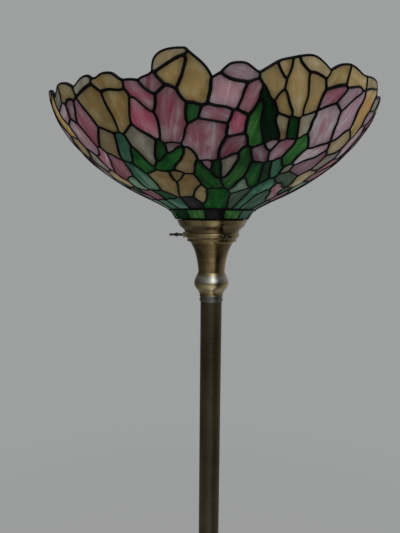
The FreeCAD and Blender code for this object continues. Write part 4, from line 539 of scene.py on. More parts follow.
def plain_metal(name, bright, dark, rough, scale=300.0, metal=1.0):
    g = material_graph(name)
    place = g.object_place()
    mottling = g.noise(place, scale, detail=4.0, roughness=0.6)
    brushing = g.noise(g.mapping(place, (1.0, 1.0, 6.0)), scale * 2.5, detail=2.0)
    colour = g.mix(mottling, dark, bright)
    roughness = g.scaled(brushing, gain=0.2, offset=rough - 0.1)
    normal = g.bump(brushing, strength=0.15, distance=0.0003)
    return g.finish(g.principled(colour, roughness, normal, metal))


def moulded(name, base, lift, rough=0.42, grain=900.0, strength=0.25, specular=0.45):
    """Plastic, rubber, card or glaze with a fine surface grain and faint mottling."""
    g = material_graph(name)
    place = g.object_place()
    mottling = g.noise(place, scale=60.0, detail=4.0, roughness=0.6)
    fine = g.noise(place, grain, roughness=0.6)
    colour = g.mix(g.multiply(mottling, 0.8), base, lift)
    roughness = g.scaled(fine, gain=0.18, offset=rough - 0.08)
    normal = g.bump(fine, strength, distance=0.0003)
    return g.finish(g.principled(colour, roughness, normal, Specular_IOR_Level=specular))


def frosted(name, tint, rough, through):
    g = material_graph(name)
    place = g.object_place()
    fine = g.noise(place, scale=220.0, detail=2.0)
    broad = g.noise(g.mapping(place, (1, 1, 0.5)), scale=50.0)
    colour = g.mix(broad, tint, tuple(0.9 * channel for channel in tint))
    normal = g.bump(fine, strength=0.05, distance=0.0002)
    face = g.principled(colour, rough, normal, Coat_Weight=0.5, Coat_Roughness=0.20)
    return g.finish(g.let_through(face, colour, through))


def felt(name):
    g = material_graph(name)
    place = g.object_place()
    nap = g.noise(place, scale=500.0, detail=6.0, roughness=0.75)
    fibre = g.noise(place, scale=2600.0, detail=4.0, roughness=0.7)
    colour = g.mix(nap, (0.012, 0.035, 0.020), (0.035, 0.080, 0.048))
    height = g.add(nap, g.multiply(fibre, 0.5))
    normal = g.bump(height, strength=0.9, distance=0.0006)
    return g.finish(g.principled(colour, 0.95, normal, Sheen_Weight=0.6))


# letter, name, seed, streak contrast, mottling, share of light let through, deep, middle and
# pale colour, then for some a patch colour and its amount
GLASS_SHEETS = (
    ("A", "opal_amber", 1.0, 1.05, 0.80, 0.50, (0.425, 0.308, 0.108), (0.595, 0.468, 0.212),
     (0.720, 0.645, 0.385), (0.600, 0.320, 0.110), 0.75),
    ("W", "opal_straw", 15.0, 1.05, 0.5, 0.50, (0.410, 0.303, 0.128), (0.590, 0.475, 0.245),
     (0.715, 0.655, 0.435), (0.600, 0.380, 0.150), 0.35),
    ("M", "opal_honey", 2.0, 1.0, 0.65, 0.50, (0.415, 0.317, 0.163), (0.568, 0.480, 0.288),
     (0.735, 0.690, 0.515), (0.620, 0.350, 0.140), 0.55),
    ("C", "opal_cream", 3.0, 1.0, 0.5, 0.50, (0.250, 0.220, 0.145), (0.370, 0.350, 0.275),
     (0.600, 0.580, 0.500)),
    ("P", "opal_pink", 4.0, 1.35, 0.25, 0.50, (0.470, 0.125, 0.190), (0.520, 0.290, 0.350),
     (0.740, 0.660, 0.690), (0.560, 0.140, 0.225), 0.55),
    ("Q", "opal_blush", 14.0, 1.35, 0.25, 0.50, (0.520, 0.260, 0.330), (0.560, 0.440, 0.480),
     (0.760, 0.730, 0.740), (0.600, 0.200, 0.300), 0.60),
    ("R", "opal_rose", 5.0, 1.25, 0.4, 0.50, (0.460, 0.090, 0.150), (0.560, 0.260, 0.340),
     (0.720, 0.580, 0.630), (0.620, 0.110, 0.160), 0.7),
    ("L", "opal_lilac", 6.0, 1.1, 0.0, 0.50, (0.440, 0.260, 0.350), (0.560, 0.420, 0.480),
     (0.740, 0.670, 0.720)),
    ("G", "streaky_leaf", 7.0, 1.2, 0.4, 0.50, (0.003, 0.067, 0.018), (0.018, 0.155, 0.034),
     (0.072, 0.300, 0.076)),
    ("B", "streaky_spring", 8.0, 1.2, 0.4, 0.50, (0.019, 0.134, 0.021), (0.066, 0.268, 0.062),
     (0.215, 0.465, 0.170)),
    ("K", "deep_forest", 9.0, 1.0, 0.3, 0.35, (0.0010, 0.018, 0.003), (0.002, 0.044, 0.008),
     (0.013, 0.090, 0.021)),
    ("U", "dusk_violet", 10.0, 1.0, 0.0, 0.45, (0.014, 0.013, 0.018), (0.032, 0.032, 0.038),
     (0.075, 0.072, 0.085)),
    ("X", "black_glass", 13.0, 1.0, 0.0, 0.30, (0.0010, 0.0010, 0.0016),
     (0.0040, 0.0040, 0.0055), (0.012, 0.012, 0.016)),
    ("T", "streaky_teal", 11.0, 1.2, 0.0, 0.50, (0.024, 0.108, 0.071), (0.080, 0.215, 0.148),
     (0.240, 0.390, 0.290)),
    ("Y", "sage_grey", 12.0, 1.1, 0.0, 0.50, (0.110, 0.200, 0.130), (0.200, 0.310, 0.215),
     (0.400, 0.480, 0.380)),
)
GLASS = {letter: opal_glass(*sheet) for letter, *sheet in GLASS_SHEETS}
SOLDER = black_solder("black_patina_solder")
ANTIQUE = dict(bright=(0.52, 0.420, 0.218), mid=(0.380, 0.292, 0.130),
               dark=(0.160, 0.106, 0.046), rough=0.15, rings=0.5, age=0.65)
BRASS = aged_brass("antique_brass", **ANTIQUE)
BRASS_SCREW = aged_brass(
    "antique_brass_screw", bright=(0.150, 0.125, 0.080), mid=(0.085, 0.068, 0.040),
    dark=(0.035, 0.026, 0.016), rough=0.40, rings=0.6, age=0.6)
BRONZE = aged_brass(
    "pole_bronze", bright=(0.086, 0.066, 0.029), mid=(0.056, 0.042, 0.0160),
    dark=(0.027, 0.0198, 0.0072), rough=0.40, rings=0.5, age=0.2, ring_scale=1500.0, metal=0.66)
CLEAN_BRASS = aged_brass(
    "clean_brass", bright=(0.80, 0.62, 0.30), mid=(0.66, 0.48, 0.20),
    dark=(0.42, 0.28, 0.10), rough=0.25, rings=0.7, age=0.3)
STEEL = plain_metal("zinc_steel", (0.62, 0.63, 0.64), (0.38, 0.38, 0.40), rough=0.34)
CAP_METAL = plain_metal("bulb_cap_metal", (0.80, 0.80, 0.80), (0.55, 0.55, 0.56), rough=0.30)
FILAMENT = plain_metal("filament_wire", (0.40, 0.39, 0.38), (0.16, 0.16, 0.17), rough=0.4)
IRON = plain_metal("cast_iron", (0.16, 0.155, 0.15), (0.055, 0.052, 0.05), rough=0.62,
                   scale=240.0, metal=0.7)
FROST = frosted("frosted_bulb", (0.86, 0.85, 0.80), rough=0.45, through=0.55)
STEM_GLASS = frosted("stem_glass", (0.70, 0.74, 0.72), rough=0.18, through=0.6)
CERAMIC = moulded("glazed_ceramic", (0.72, 0.70, 0.64), (0.82, 0.80, 0.76), rough=0.18,
                  grain=300.0, strength=0.06, specular=0.6)
CARD = moulded("fibre_card", (0.30, 0.22, 0.14), (0.42, 0.33, 0.22), rough=0.75,
               grain=700.0, strength=0.4, specular=0.2)
INSULATOR = moulded("cap_insulator", (0.010, 0.010, 0.012), (0.03, 0.03, 0.035), rough=0.15,
                    grain=300.0, strength=0.05, specular=0.6)
BROWN = moulded("brown_plastic", (0.040, 0.022, 0.012), (0.075, 0.045, 0.026), rough=0.34)
FLEX = moulded("brown_flex", (0.045, 0.026, 0.014), (0.085, 0.052, 0.030), grain=1200.0,
               strength=0.2)
FELT = felt("green_felt")
# The neck: painted shade fading in under the cup; on the knob a pale band is a painted reflection
# of a bright ceiling, and the band below it a painted highlight.
NECK_BRASS = aged_brass(
    "neck_brass", **ANTIQUE, under_cup_shade=(CUP_TOP - 0.052, CUP_TOP - 0.034, 0.68),
    painted_bands=((CUP_TOP - 0.0733, CUP_TOP - 0.0634, (0.500, 0.482, 0.410), 0.80),
          (CUP_TOP - 0.0850, CUP_TOP - 0.0728, (0.800, 0.665, 0.360), 0.85)))
# The cup: a dark band under its lip is painted shade.
CUP_BRASS = aged_brass(
    "cup_brass", **ANTIQUE,
    painted_bands=((CUP_TOP - 0.0160, CUP_TOP - 0.0062, (0.165, 0.115, 0.052), 0.80),))
RING = aged_brass(
    "dull_ring", bright=(0.300, 0.285, 0.245), mid=(0.210, 0.198, 0.165),
    dark=(0.110, 0.100, 0.078), rough=0.30, rings=0.8, age=0.4)

NODE_MATERIAL = {node: material for material, nodes in (
    (BRASS, "shade_collar fitter_bushes pole_collars foot_cup base_shell"),
    (CUP_BRASS, "fitter_cup"), (NECK_BRASS, "neck_vase"), (RING, "pole_ring"),
    (BRONZE, "pole_top pole_middle pole_bottom"),
    (BRASS_SCREW, "thumbscrew_left thumbscrew_right thumbscrew_rear"),
    (CLEAN_BRASS, "socket_cap socket_shell socket_screw_shell socket_contact"
                  " socket_terminals plug_blades"),
    (CARD, "socket_sleeve"), (CERAMIC, "socket_body"), (FROST, "bulb_glass"),
    (STEM_GLASS, "bulb_stem"), (FILAMENT, "bulb_filament"), (CAP_METAL, "bulb_cap bulb_contact"),
    (INSULATOR, "bulb_insulator"), (IRON, "base_weight"), (FELT, "base_felt"),
    (STEEL, "neck_nipple cup_washer neck_locknuts pole_bushes pole_couplings base_rod"
            " base_washer base_nut base_spacer switch_spring"),
    (BROWN, "cord_grommet switch_top switch_bottom switch_button plug_body"),
    (FLEX, "cord_inner cord_tail"), (SOLDER, "lead_came band_came rim_wire"),
    (GLASS["A"], "glass_amber"), (GLASS["C"], "glass_cream"), (GLASS["P"], "glass_pink"),
    (GLASS["R"], "glass_rose"), (GLASS["G"], "glass_leaf band_glass"),
    (GLASS["K"], "glass_dark"), (GLASS["T"], "glass_teal"),
) for node in nodes.split()}
for node_name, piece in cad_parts.items():
    piece.data.materials.clear()
    piece.data.materials.append(NODE_MATERIAL[node_name])


# ---- bowl surface -------------------------------------------------------------------------------
def smooth_profile(xs, ys, x):
    """Monotone cubic through the points (xs, ys), read at x."""
    xs, ys = np.asarray(xs, float), np.asarray(ys, float)
    gap, count = np.diff(xs), len(xs)
    rise = np.diff(ys) / gap
    slope = np.zeros(count)
    for i in range(1, count - 1):
        if rise[i - 1] * rise[i] > 0:
            before, after = 2 * gap[i] + gap[i - 1], gap[i] + 2 * gap[i - 1]
            slope[i] = (before + after) / (before / rise[i - 1] + after / rise[i])
    slope[0] = max(0.0, ((2 * gap[0] + gap[1]) * rise[0] - gap[0] * rise[1])
                   / (gap[0] + gap[1]))
    slope[-1] = max(0.0, ((2 * gap[-1] + gap[-2]) * rise[-1] - gap[-1] * rise[-2])
                    / (gap[-1] + gap[-2]))
    i = np.clip(np.searchsorted(xs, x, side="right") - 1, 0, count - 2)
    t = (x - xs[i]) / gap[i]
    return ((2 * t**3 - 3 * t**2 + 1) * ys[i] + (t**3 - 2 * t**2 + t) * gap[i] * slope[i]
            + (-2 * t**3 + 3 * t**2) * ys[i + 1] + (t**3 - t**2) * gap[i] * slope[i + 1])


profile_z = np.linspace(BOWL_PROFILE[0][0], BOWL_PROFILE[-1][0], 1441)
profile_r = smooth_profile(*zip(*BOWL_PROFILE), profile_z)
profile_along = np.r_[0.0, np.cumsum(np.hypot(np.diff(profile_z), np.diff(profile_r)))]
# unit tangent along the profile
tangent_r, tangent_z = np.gradient(profile_r), np.gradient(profile_z)
tangent_size = np.hypot(tangent_r, tangent_z)
tangent_r, tangent_z = tangent_r / tangent_size, tangent_z / tangent_size
SEARCH_STEP = 6  # every sixth profile point is tried for the nearest


def bowl_point(degrees, along):
    """Points (metres) on the bowl at an angle and mm along the profile."""
    radius = np.interp(along, profile_along, profile_r)
    z = np.interp(along, profile_along, profile_z)
    angle = np.radians(degrees)
    return np.stack([radius * np.sin(angle), -radius * np.cos(angle), CUP_TOP_MM + z],
                    -1) / 1000.0


def bowl_normal(degrees, along):
    slope_r = np.interp(along, profile_along, tangent_r)
    slope_z = np.interp(along, profile_along, tangent_z)
    angle = np.radians(degrees)
    return np.stack([slope_z * np.sin(angle), -slope_z * np.cos(angle), -slope_r], -1)


def height_over(points):
    """Signed distance (metres, + outside) of points from the bowl surface, and its normal."""
    p = points * 1000.0
    radius = np.hypot(p[:, 0], p[:, 1])
    z = p[:, 2] - CUP_TOP_MM
    distance = ((radius[:, None] - profile_r[None, ::SEARCH_STEP])**2
                + (z[:, None] - profile_z[None, ::SEARCH_STEP])**2)
    k = np.argmin(distance, 1) * SEARCH_STEP
    out_r, out_z = tangent_z[k], -tangent_r[k]
    height = (radius - profile_r[k]) * out_r + (z - profile_z[k]) * out_z
    normal = np.stack([p[:, 0] / radius * out_r, p[:, 1] / radius * out_r, out_z], -1)
    return height / 1000.0, normal


def onto_bowl(points, share=1.0):
    """Points moved a share of the way to the bowl surface."""
    height, normal = height_over(points)
    return points - normal * (height * share)[:, None]


# ---- the pattern: corners, edges and curves -----------------------------------------------------
def corner(label):
    angle, along, half_width = SHADE_POINTS[int(label.lstrip("<>"))]
    return angle + THIRD * {"<": -1, ">": 1}.get(label[0], 0), along, half_width


def edge_of(a, b):
    return (a, b) if a < b else (b, a)


outlines = []       # colour, corner keys, pane number, which third
corner_place = {}   # corner key -> (degrees, mm along)
corner_width = {}   # corner key -> half width of the solder line, metres
for third in range(3):
    for number, (colour, *labels) in enumerate(SHADE_PANES):
        keys = []
        for angle, along, half_width in map(corner, labels):
            angle = angle + THIRD * third
            key = (round(angle % 360.0, 2) % 360.0, round(along, 2))
            keys.append(key)
            corner_place.setdefault(key, (angle, along))
            corner_width[key] = half_width / 1000.0
        outlines.append((colour, keys, number, third))

neighbours = {}
edge_uses = Counter()
for colour, keys, number, third in outlines:
    for a, b in zip(keys, keys[1:] + keys[:1]):
        neighbours.setdefault(a, set()).add(b)
        neighbours.setdefault(b, set()).add(a)
        edge_uses[edge_of(a, b)] += 1
corner_point = {key: bowl_point(*place) for key, place in corner_place.items()}
curves = {}         # edge -> points from its first corner to its second


def add_curves(chain):
    """Centripetal curve through a chain of corners, laid on the bowl and kept edge by edge."""
    points = np.array([corner_point[key] for key in chain])
    before, after = 2 * points[0] - points[1], 2 * points[-1] - points[-2]
    if len(points) > 2:
        before = before + 0.35 * (points[0] - 2 * points[1] + points[2])
        after = after + 0.35 * (points[-1] - 2 * points[-2] + points[-3])
    knots = np.vstack([before, points, after])
    for i in range(len(points) - 1):
        p0, p1, p2, p3 = knots[i:i + 4]
        d1, d2, d3 = (max(1e-6, np.linalg.norm(end - start))**0.5
                      for start, end in ((p0, p1), (p1, p2), (p2, p3)))
        t1 = (p1 - p0) / d1 - (p2 - p0) / (d1 + d2) + (p2 - p1) / d2
        t2 = (p2 - p1) / d2 - (p3 - p1) / (d2 + d3) + (p3 - p2) / d3
        t1, t2 = t1 * d2, t2 * d2
        line = onto_bowl(np.array([
            (2 * u**3 - 3 * u**2 + 1) * p1 + (u**3 - 2 * u**2 + u) * t1
            + (-2 * u**3 + 3 * u**2) * p2 + (u**3 - u**2) * t2
            for u in np.linspace(0, 1, CURVE_STEPS + 1)]))
        a, b = chain[i], chain[i + 1]
        curves[edge_of(a, b)] = line if a < b else line[::-1]


# each curve runs from junction to junction, through the corners that join only two edges
seen_edges = set()
for start in sorted(neighbours):
    if len(neighbours[start]) == 2:
        continue
    for following in sorted(neighbours[start]):
        if edge_of(start, following) in seen_edges:
            continue
        chain = [start, following]
        seen_edges.add(edge_of(start, following))
        while len(neighbours[chain[-1]]) == 2:
            onward = [key for key in neighbours[chain[-1]] if key != chain[-2]][0]
            seen_edges.add(edge_of(chain[-1], onward))
            chain.append(onward)
        add_curves(chain)


# ---- meshes -------------------------------------------------------------------------------------
def mesh_object(name, verts, faces, materials, face_slots=None):
    mesh = bpy.data.meshes.new(name)
    mesh.from_pydata([tuple(v) for v in verts], [], [tuple(f) for f in faces])
    for material in materials:
        mesh.materials.append(material)
    if face_slots is not None:
        mesh.polygons.foreach_set("material_index", np.array(face_slots, dtype=np.int32))
    mesh.validate()
    ob = bpy.data.objects.new(name, mesh)
    bpy.context.scene.collection.objects.link(ob)
    mesh.polygons.foreach_set("use_smooth", [True] * len(mesh.polygons))
    mesh.set_sharp_from_angle(angle=math.radians(38))
    return ob


def tube_faces(rings, sides, base=0):
    """Faces of a tube of vertex rings, closed at both ends."""
    faces = []
    for i in range(rings - 1):
        for k in range(sides):
            m = (k + 1) % sides
            faces.append([base + i * sides + k, base + i * sides + m,
                          base + (i + 1) * sides + m, base + (i + 1) * sides + k])
    faces.append([base + k for k in range(sides)][::-1])
    faces.append([base + (rings - 1) * sides + k for k in range(sides)])
    return faces


def ring_quads(rings, sides, base):
    """Quads between rings that run outward or down from a middle vertex."""
    faces = []
    for i in range(rings - 1):
        for k in range(sides):
            m = (k + 1) % sides
            a = base + i * sides
            faces.append([a + k, a + sides + k, a + sides + m, a + m])
    return faces


# ---- panes --------------------------------------------------------------------------------------
def inset(outline, distance):
    count = len(outline)
    moved = []
    for i in range(count):
        here = outline[i]
        a, b = here - outline[i - 1], outline[(i + 1) % count] - here
        a, b = a / np.linalg.norm(a), b / np.linalg.norm(b)
        spread = max(0.35, 1 + a @ b)
        moved.append(here + distance * np.array([-(a[1] + b[1]), a[0] + b[0]]) / spread)
    return np.array(moved)


def inside(points, outline):
    x, y = points[:, 0], points[:, 1]
    result = np.zeros(len(points), bool)
    for i in range(len(outline)):
        (xi, yi), (xj, yj) = outline[i], outline[i - 1]
        crosses = (yi > y) != (yj > y)
        # level sides divide by zero here, but never count as crossed
        with np.errstate(divide="ignore", invalid="ignore"):
            result ^= crosses & (x < (xj - xi) * (y - yi) / (yj - yi) + xi)
    return result


def edge_distance(points, outline):
    best = np.full(len(points), 9.0)
    for i in range(len(outline)):
        a, b = outline[i - 1], outline[i]
        ab = b - a
        t = np.clip(((points - a) @ ab) / (ab @ ab), 0, 1)
        best = np.minimum(best, np.linalg.norm(points - a - t[:, None] * ab, axis=1))
    return best


def pane_plane(outline):
    """Centre, right, up and normal of the plane an outline lies nearest to."""
    centre = outline.mean(0)
    normal = np.zeros(3)
    for i in range(len(outline)):
        normal += np.cross(outline[i] - centre, outline[(i + 1) % len(outline)] - centre)
    normal /= np.linalg.norm(normal)
    up = np.array([0, 0, 1.0]) - normal * normal[2]
    up /= np.linalg.norm(up)
    return centre, np.cross(up, normal), up, normal


def fill_outline(cut):
    """Flat points and anticlockwise triangles filling an outline on a grid."""
    low, high = cut.min(0), cut.max(0)
    grid_x, grid_y = np.meshgrid(np.arange(low[0], high[0], PANE_GRID),
                                 np.arange(low[1], high[1], PANE_GRID))
    points = np.stack([grid_x.ravel(), grid_y.ravel()], -1)
    points = points[inside(points, cut)]
    points = points[edge_distance(points, cut) > PANE_GRID * 0.45]
    # divide long sides so that the edge follows the surface
    ring = []
    for i in range(len(cut)):
        a, b = cut[i], cut[(i + 1) % len(cut)]
        parts = max(1, int(np.linalg.norm(b - a) / (PANE_GRID * 1.5)))
        for k in range(parts):
            ring.append(a + (b - a) * (k / parts))
    edges = [(i, (i + 1) % len(ring)) for i in range(len(ring))]
    everything = [Vector(p) for p in np.vstack([np.array(ring), points])]
    flat, _, faces, _, _, _ = delaunay_2d_cdt(everything, edges, [], 1, 1e-7)
    flat = np.array([tuple(v) for v in flat])
    triangles = []
    for face in faces:
        a, b, c = (flat[i] for i in face)
        turn = (b[0] - a[0]) * (c[1] - a[1]) - (b[1] - a[1]) * (c[0] - a[0])
        triangles.append(list(face) if turn > 0 else list(face)[::-1])
    return flat, triangles


def sheet_grain(flat, outline, draws):
    """Texture coordinates in cm, turned towards the long axis of a slender pane."""
    spread, axes = np.linalg.eigh(np.cov(outline.T))
    long_axis = axes[:, 1] * np.sign(axes[1, 1] + 1e-9)
    slender = (math.sqrt(spread[1] / max(spread[0], 1e-12)) - 1.15) / 0.7
    slender = min(1.0, max(0.0, slender))
    angle = math.atan2(long_axis[0], long_axis[1]) * slender * 0.85 + draws.normal(0.0, 0.12)
    cos, sin = math.cos(angle), math.sin(angle)
    grain = np.stack([(flat[:, 0] * cos - flat[:, 1] * sin) * 100,
                      (flat[:, 0] * sin + flat[:, 1] * cos) * 100,
                      np.full(len(flat), draws.uniform(0, 80))], -1)
    grain[:, :2] += draws.uniform(-40, 40, 2)
    return grain


pane_groups = {}    # colour family -> mesh lists


def add_pane(family, letter, outline, number, third):
    """One glass pane: a gently crowned sheet cut to its outline, 3 mm thick."""
    group = pane_groups.setdefault(family, {"verts": [], "faces": [], "slots": [],
                                            "grain": [], "tone": [], "letters": []})
    if letter not in group["letters"]:
        group["letters"].append(letter)
    centre, right, up, normal = pane_plane(outline)
    flat_outline = np.stack([(outline - centre) @ right, (outline - centre) @ up], -1)
    cut = inset(flat_outline, PANE_GAP)
    flat, triangles = fill_outline(cut)
    points = onto_bowl(centre + flat[:, :1] * right + flat[:, 1:] * up, share=0.85)
    draws = np.random.RandomState(1000 + number * 3 + third)
    grain = sheet_grain(flat, flat_outline, draws)
    tone = TONE.get(number, 1.0) * (1.0 + draws.normal(0.0, 0.05 if third == 0 else 0.09))
    tilt = draws.normal(0.0, 0.006, 2)
    offset = points - points.mean(0)
    points = points + normal * ((offset @ right) * tilt[0] + (offset @ up) * tilt[1])[:, None]
    base, count = len(group["verts"]), len(flat)
    group["verts"].extend((points + normal * GLASS_HALF).tolist())
    group["verts"].extend((points - normal * GLASS_HALF).tolist())
    group["grain"].extend(grain.tolist() * 2)
    # darker along the leads: partly patina stain on the glass, partly painted shade from the lead
    # lines
    stain_and_shade = 0.84 + 0.27 * np.clip(edge_distance(flat, cut) / 0.0055, 0, 1)
    group["tone"].extend((tone * stain_and_shade).tolist() * 2)
    faces = []
    for triangle in triangles:
        faces.append([base + i for i in triangle])
        faces.append([base + count + i for i in triangle[::-1]])
    # side walls stand on the edges used once
    sides = [(t[i], t[(i + 1) % 3]) for t in triangles for i in range(3)]
    uses = Counter(edge_of(a, b) for a, b in sides)
    faces += [[base + b, base + a, base + count + a, base + count + b]
              for a, b in sides if uses[edge_of(a, b)] == 1]
    group["faces"].extend(faces)
    group["slots"].extend([group["letters"].index(letter)] * len(faces))


for colour, keys, number, third in outlines:
    outline = []
    for a, b in zip(keys, keys[1:] + keys[:1]):
        line = curves[edge_of(a, b)]
        outline.extend((line if a < b else line[::-1])[:-1])
    add_pane(FAMILY[colour], RECUT.get(number, colour), np.array(outline), number, third)
for k, colour in enumerate(BAND_COLOURS):
    a0, a1 = (BAND_FIRST + BAND_STEP * (k + side) for side in (-0.5, 0.5))
    bent = np.array([(a0 + (a1 - a0) * t, BAND_LOW) for t in np.linspace(0, 1, 6)]
                    + [(a0 + (a1 - a0) * t, BAND_HIGH) for t in np.linspace(1, 0, 6)])
    add_pane("band", colour, bowl_point(bent[:, 0], bent[:, 1]), 500 + k, 0)

for family, group in pane_groups.items():
    panes = mesh_object("panes_" + family, group["verts"], group["faces"],
                        [GLASS[letter] for letter in group["letters"]], group["slots"])
    for name, kind, field in (("grain", "FLOAT_VECTOR", "vector"), ("tone", "FLOAT", "value")):
        attribute = panes.data.attributes.new(name, kind, "POINT")
        attribute.data.foreach_set(field, np.array(group[name], dtype=np.float32).ravel())
    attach(panes, "shade")
    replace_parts(panes, "band_glass" if family == "band" else "glass_" + family)


# ---- lead lines: solder beads fused into one skin per sixth -------------------------------------
def add_bead(shell, points, normals, half_width, half_height):
    """Elliptical tube along points; normals give the outward direction at each point."""
    verts, faces = shell
    count = len(points)
    widths = np.broadcast_to(half_width, count)
    faces.extend(tube_faces(count, LEAD_SIDES, len(verts)))
    for i in range(count):
        along = points[min(count - 1, i + 1)] - points[max(0, i - 1)]
        along = along / (np.linalg.norm(along) + 1e-12)
        out = normals[i] - along * (normals[i] @ along)
        out /= np.linalg.norm(out)
        across = np.cross(along, out)
        for k in range(LEAD_SIDES):
            a = 2 * math.pi * k / LEAD_SIDES
            verts.append((points[i] + across * (widths[i] * math.cos(a))
                          + out * (half_height * math.sin(a))).tolist())


def add_blob(shell, centre, normal, half_width, half_height, rings=5):
    """Flattened ball of solder."""
    verts, faces = shell
    normal = normal / np.linalg.norm(normal)
    u = np.cross(normal, [0.3, 0.2, 0.9])
    u /= np.linalg.norm(u)
    v = np.cross(normal, u)
    base = len(verts)
    verts.append((centre + normal * half_height).tolist())
    for i in range(1, rings):
        polar = math.pi * i / rings
        for k in range(LEAD_SIDES):
            a = 2 * math.pi * k / LEAD_SIDES
            verts.append((centre + normal * (half_height * math.cos(polar))
                          + (u * math.cos(a) + v * math.sin(a))
                          * (half_width * math.sin(polar))).tolist())
    verts.append((centre - normal * half_height).tolist())
    last = len(verts) - 1
    lowest = base + 1 + (rings - 2) * LEAD_SIDES
    for k in range(LEAD_SIDES):
        m = (k + 1) % LEAD_SIDES
        faces.append([base, base + 1 + k, base + 1 + m])
        faces.append([last, lowest + m, lowest + k])
    faces.extend(ring_quads(rings - 1, LEAD_SIDES, base + 1))


def fused_lead(name, shell):
    """Beads and blobs remeshed into one smooth skin."""
    ob = mesh_object(name, *shell, [SOLDER])
    fuse = ob.modifiers.new("fuse", "REMESH")
    fuse.mode = "VOXEL"
    fuse.voxel_size = LEAD_VOXEL
    fuse.use_smooth_shade = True
    flow = ob.modifiers.new("flow", "SMOOTH")
    flow.factor = 0.5
    flow.iterations = 2
    depsgraph = bpy.context.evaluated_depsgraph_get()
    mesh = bpy.data.meshes.new_from_object(ob.evaluated_get(depsgraph), depsgraph=depsgraph)
    mesh.name = name
    ob.modifiers.clear()
    loose = ob.data
    ob.data = mesh
    bpy.data.meshes.remove(loose)
    mesh.materials.clear()
    mesh.materials.append(SOLDER)
    mesh.polygons.foreach_set("use_smooth", [True] * len(mesh.polygons))
    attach(ob, "shade")
    return ob


sixths = [([], []) for _ in range(6)]


def sixth_at(point):
    degrees = math.degrees(math.atan2(point[0], -point[1])) % 360.0
    return sixths[int(((degrees + 60.0) % 360.0) // 60.0)]


# the lines vary a little in width from corner to corner
line_width = {}
for i, key in enumerate(sorted(neighbours)):
    wobble = 1.0 + np.random.RandomState(i + 5).normal(0, 0.05)
    line_width[key] = corner_width[key] * float(np.clip(wobble, 0.88, 1.12))

# outer edges along the scalloped rim and along the foot of the pattern, told by mm along
outer_edges = [edge for edge, uses in edge_uses.items() if uses == 1]
rim_edges = [(a, b) for a, b in outer_edges
             if corner_place[a][1] > 120 and corner_place[b][1] > 120]
foot_edges = [(a, b) for a, b in outer_edges if corner_place[a][1] < 30]
rim_corners = {key for edge in rim_edges for key in edge}
bare_edges = set(rim_edges + foot_edges)
for edge, line in curves.items():
    if edge not in bare_edges:
        widths = np.linspace(line_width[edge[0]], line_width[edge[1]], len(line))
        add_bead(sixth_at(line[len(line) // 2]), line, height_over(line)[1], widths,
                 LEAD_HALF_HEIGHT)
for key in neighbours:
    along = corner_place[key][1]
    if along < 22.0 or (along > 170 and key in rim_corners):
        continue
    swell = JOINT_SWELL if len(neighbours[key]) >= 3 else 1.0
    add_blob(sixth_at(corner_point[key]), corner_point[key], bowl_normal(*corner_place[key]),
             line_width[key] * swell, JOINT_HALF_HEIGHT)

# bead along the scalloped rim
for edge in rim_edges:
    line = curves[edge]
    normals = height_over(line)[1]
    shell = sixth_at(line[len(line) // 2])
    add_bead(shell, line, normals, RIM_HALF_WIDTH, RIM_HALF_HEIGHT)
    for point, normal in zip(line, normals):
        add_blob(shell, point, normal, RIM_HALF_WIDTH * 1.02, RIM_HALF_HEIGHT)

# the band: upright lines between its panes, a foot bead, a heavy line where it meets the bowl
band_shell = ([], [])
for k in range(len(BAND_COLOURS)):
    place = np.full(6, BAND_FIRST + BAND_STEP * (k - 0.5)), np.linspace(BAND_LOW, BAND_HIGH, 6)
    add_bead(band_shell, bowl_point(*place), bowl_normal(*place), 0.00115, LEAD_HALF_HEIGHT)
for along, half_width, half_height in ((BAND_LOW + 0.3, 0.0012, 0.0024),
                                       (BAND_HIGH, 0.0018, 0.0029)):
    place = np.linspace(0, 360, 97), np.full(97, along)
    add_bead(band_shell, bowl_point(*place), bowl_normal(*place), half_width, half_height)

lead_objects = [fused_lead("lead_lines_" + letter, shell)
                for letter, shell in zip("abcdef", sixths)]
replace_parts(lead_objects[0], "lead_came", "rim_wire")
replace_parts(fused_lead("lead_lines_band", band_shell), "band_came")


# ---- cords: smooth flex, slightly flattened on two sides ----------------------------------------
FLEX_RADIUS = 0.00258
FLEX_SIDES = 24


def spline(points, steps):
    """Catmull-Rom curve through points."""
    knots = [2 * points[0] - points[1]] + list(points) + [2 * points[-1] - points[-2]]
    curve = []
    for k in range(1, len(knots) - 2):
        a, b, c, d = knots[k - 1:k + 3]
        for step in range(steps):
            t = step / steps
            curve.append(0.5 * (2 * b + (c - a) * t + (2 * a - 5 * b + 4 * c - d) * t * t
                                + (3 * b - a - 3 * c + d) * t**3))
    curve.append(points[-1])
    return curve


def flex_object(name, path, node):
    """Flex swept along a path in mm."""
    path = np.array(path) / 1000.0
    count = len(path)
    verts = []
    u = np.array([1.0, 0, 0])
    for i in range(count):
        along = path[min(count - 1, i + 1)] - path[max(0, i - 1)]
        along /= np.linalg.norm(along)
        u = u - along * (u @ along)
        u /= np.linalg.norm(u)
        v = np.cross(along, u)
        for k in range(FLEX_SIDES):
            a = 2 * math.pi * k / FLEX_SIDES
            radius = FLEX_RADIUS * (1.0 - 0.05 * abs(math.sin(a))**6)
            verts.append((path[i] + u * (radius * math.cos(a))
                          + v * (radius * math.sin(a))).tolist())
    ob = mesh_object(name, verts, tube_faces(count, FLEX_SIDES), [FLEX])
    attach(ob, "stand")
    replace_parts(ob, node)


def at(x, y, z):
    return np.array((x, y, z), float)


def unit(x, y):
    direction = at(x, y, 0)
    return direction / np.linalg.norm(direction)


# places in mm: the foot switch and the plug, and the way the cord runs through each
SWITCH, SWITCH_WAY = at(-196.0, 128.0, 0.0), unit(-0.65, -0.76)
PLUG, PLUG_WAY = at(-120.0, -236.0, 0.0), unit(0.97, -0.24)
BEND_RADIUS = 8.2
BASE_HEIGHT = 9.0   # of the cord inside the base
REST = 3.1          # of the cord on the floor
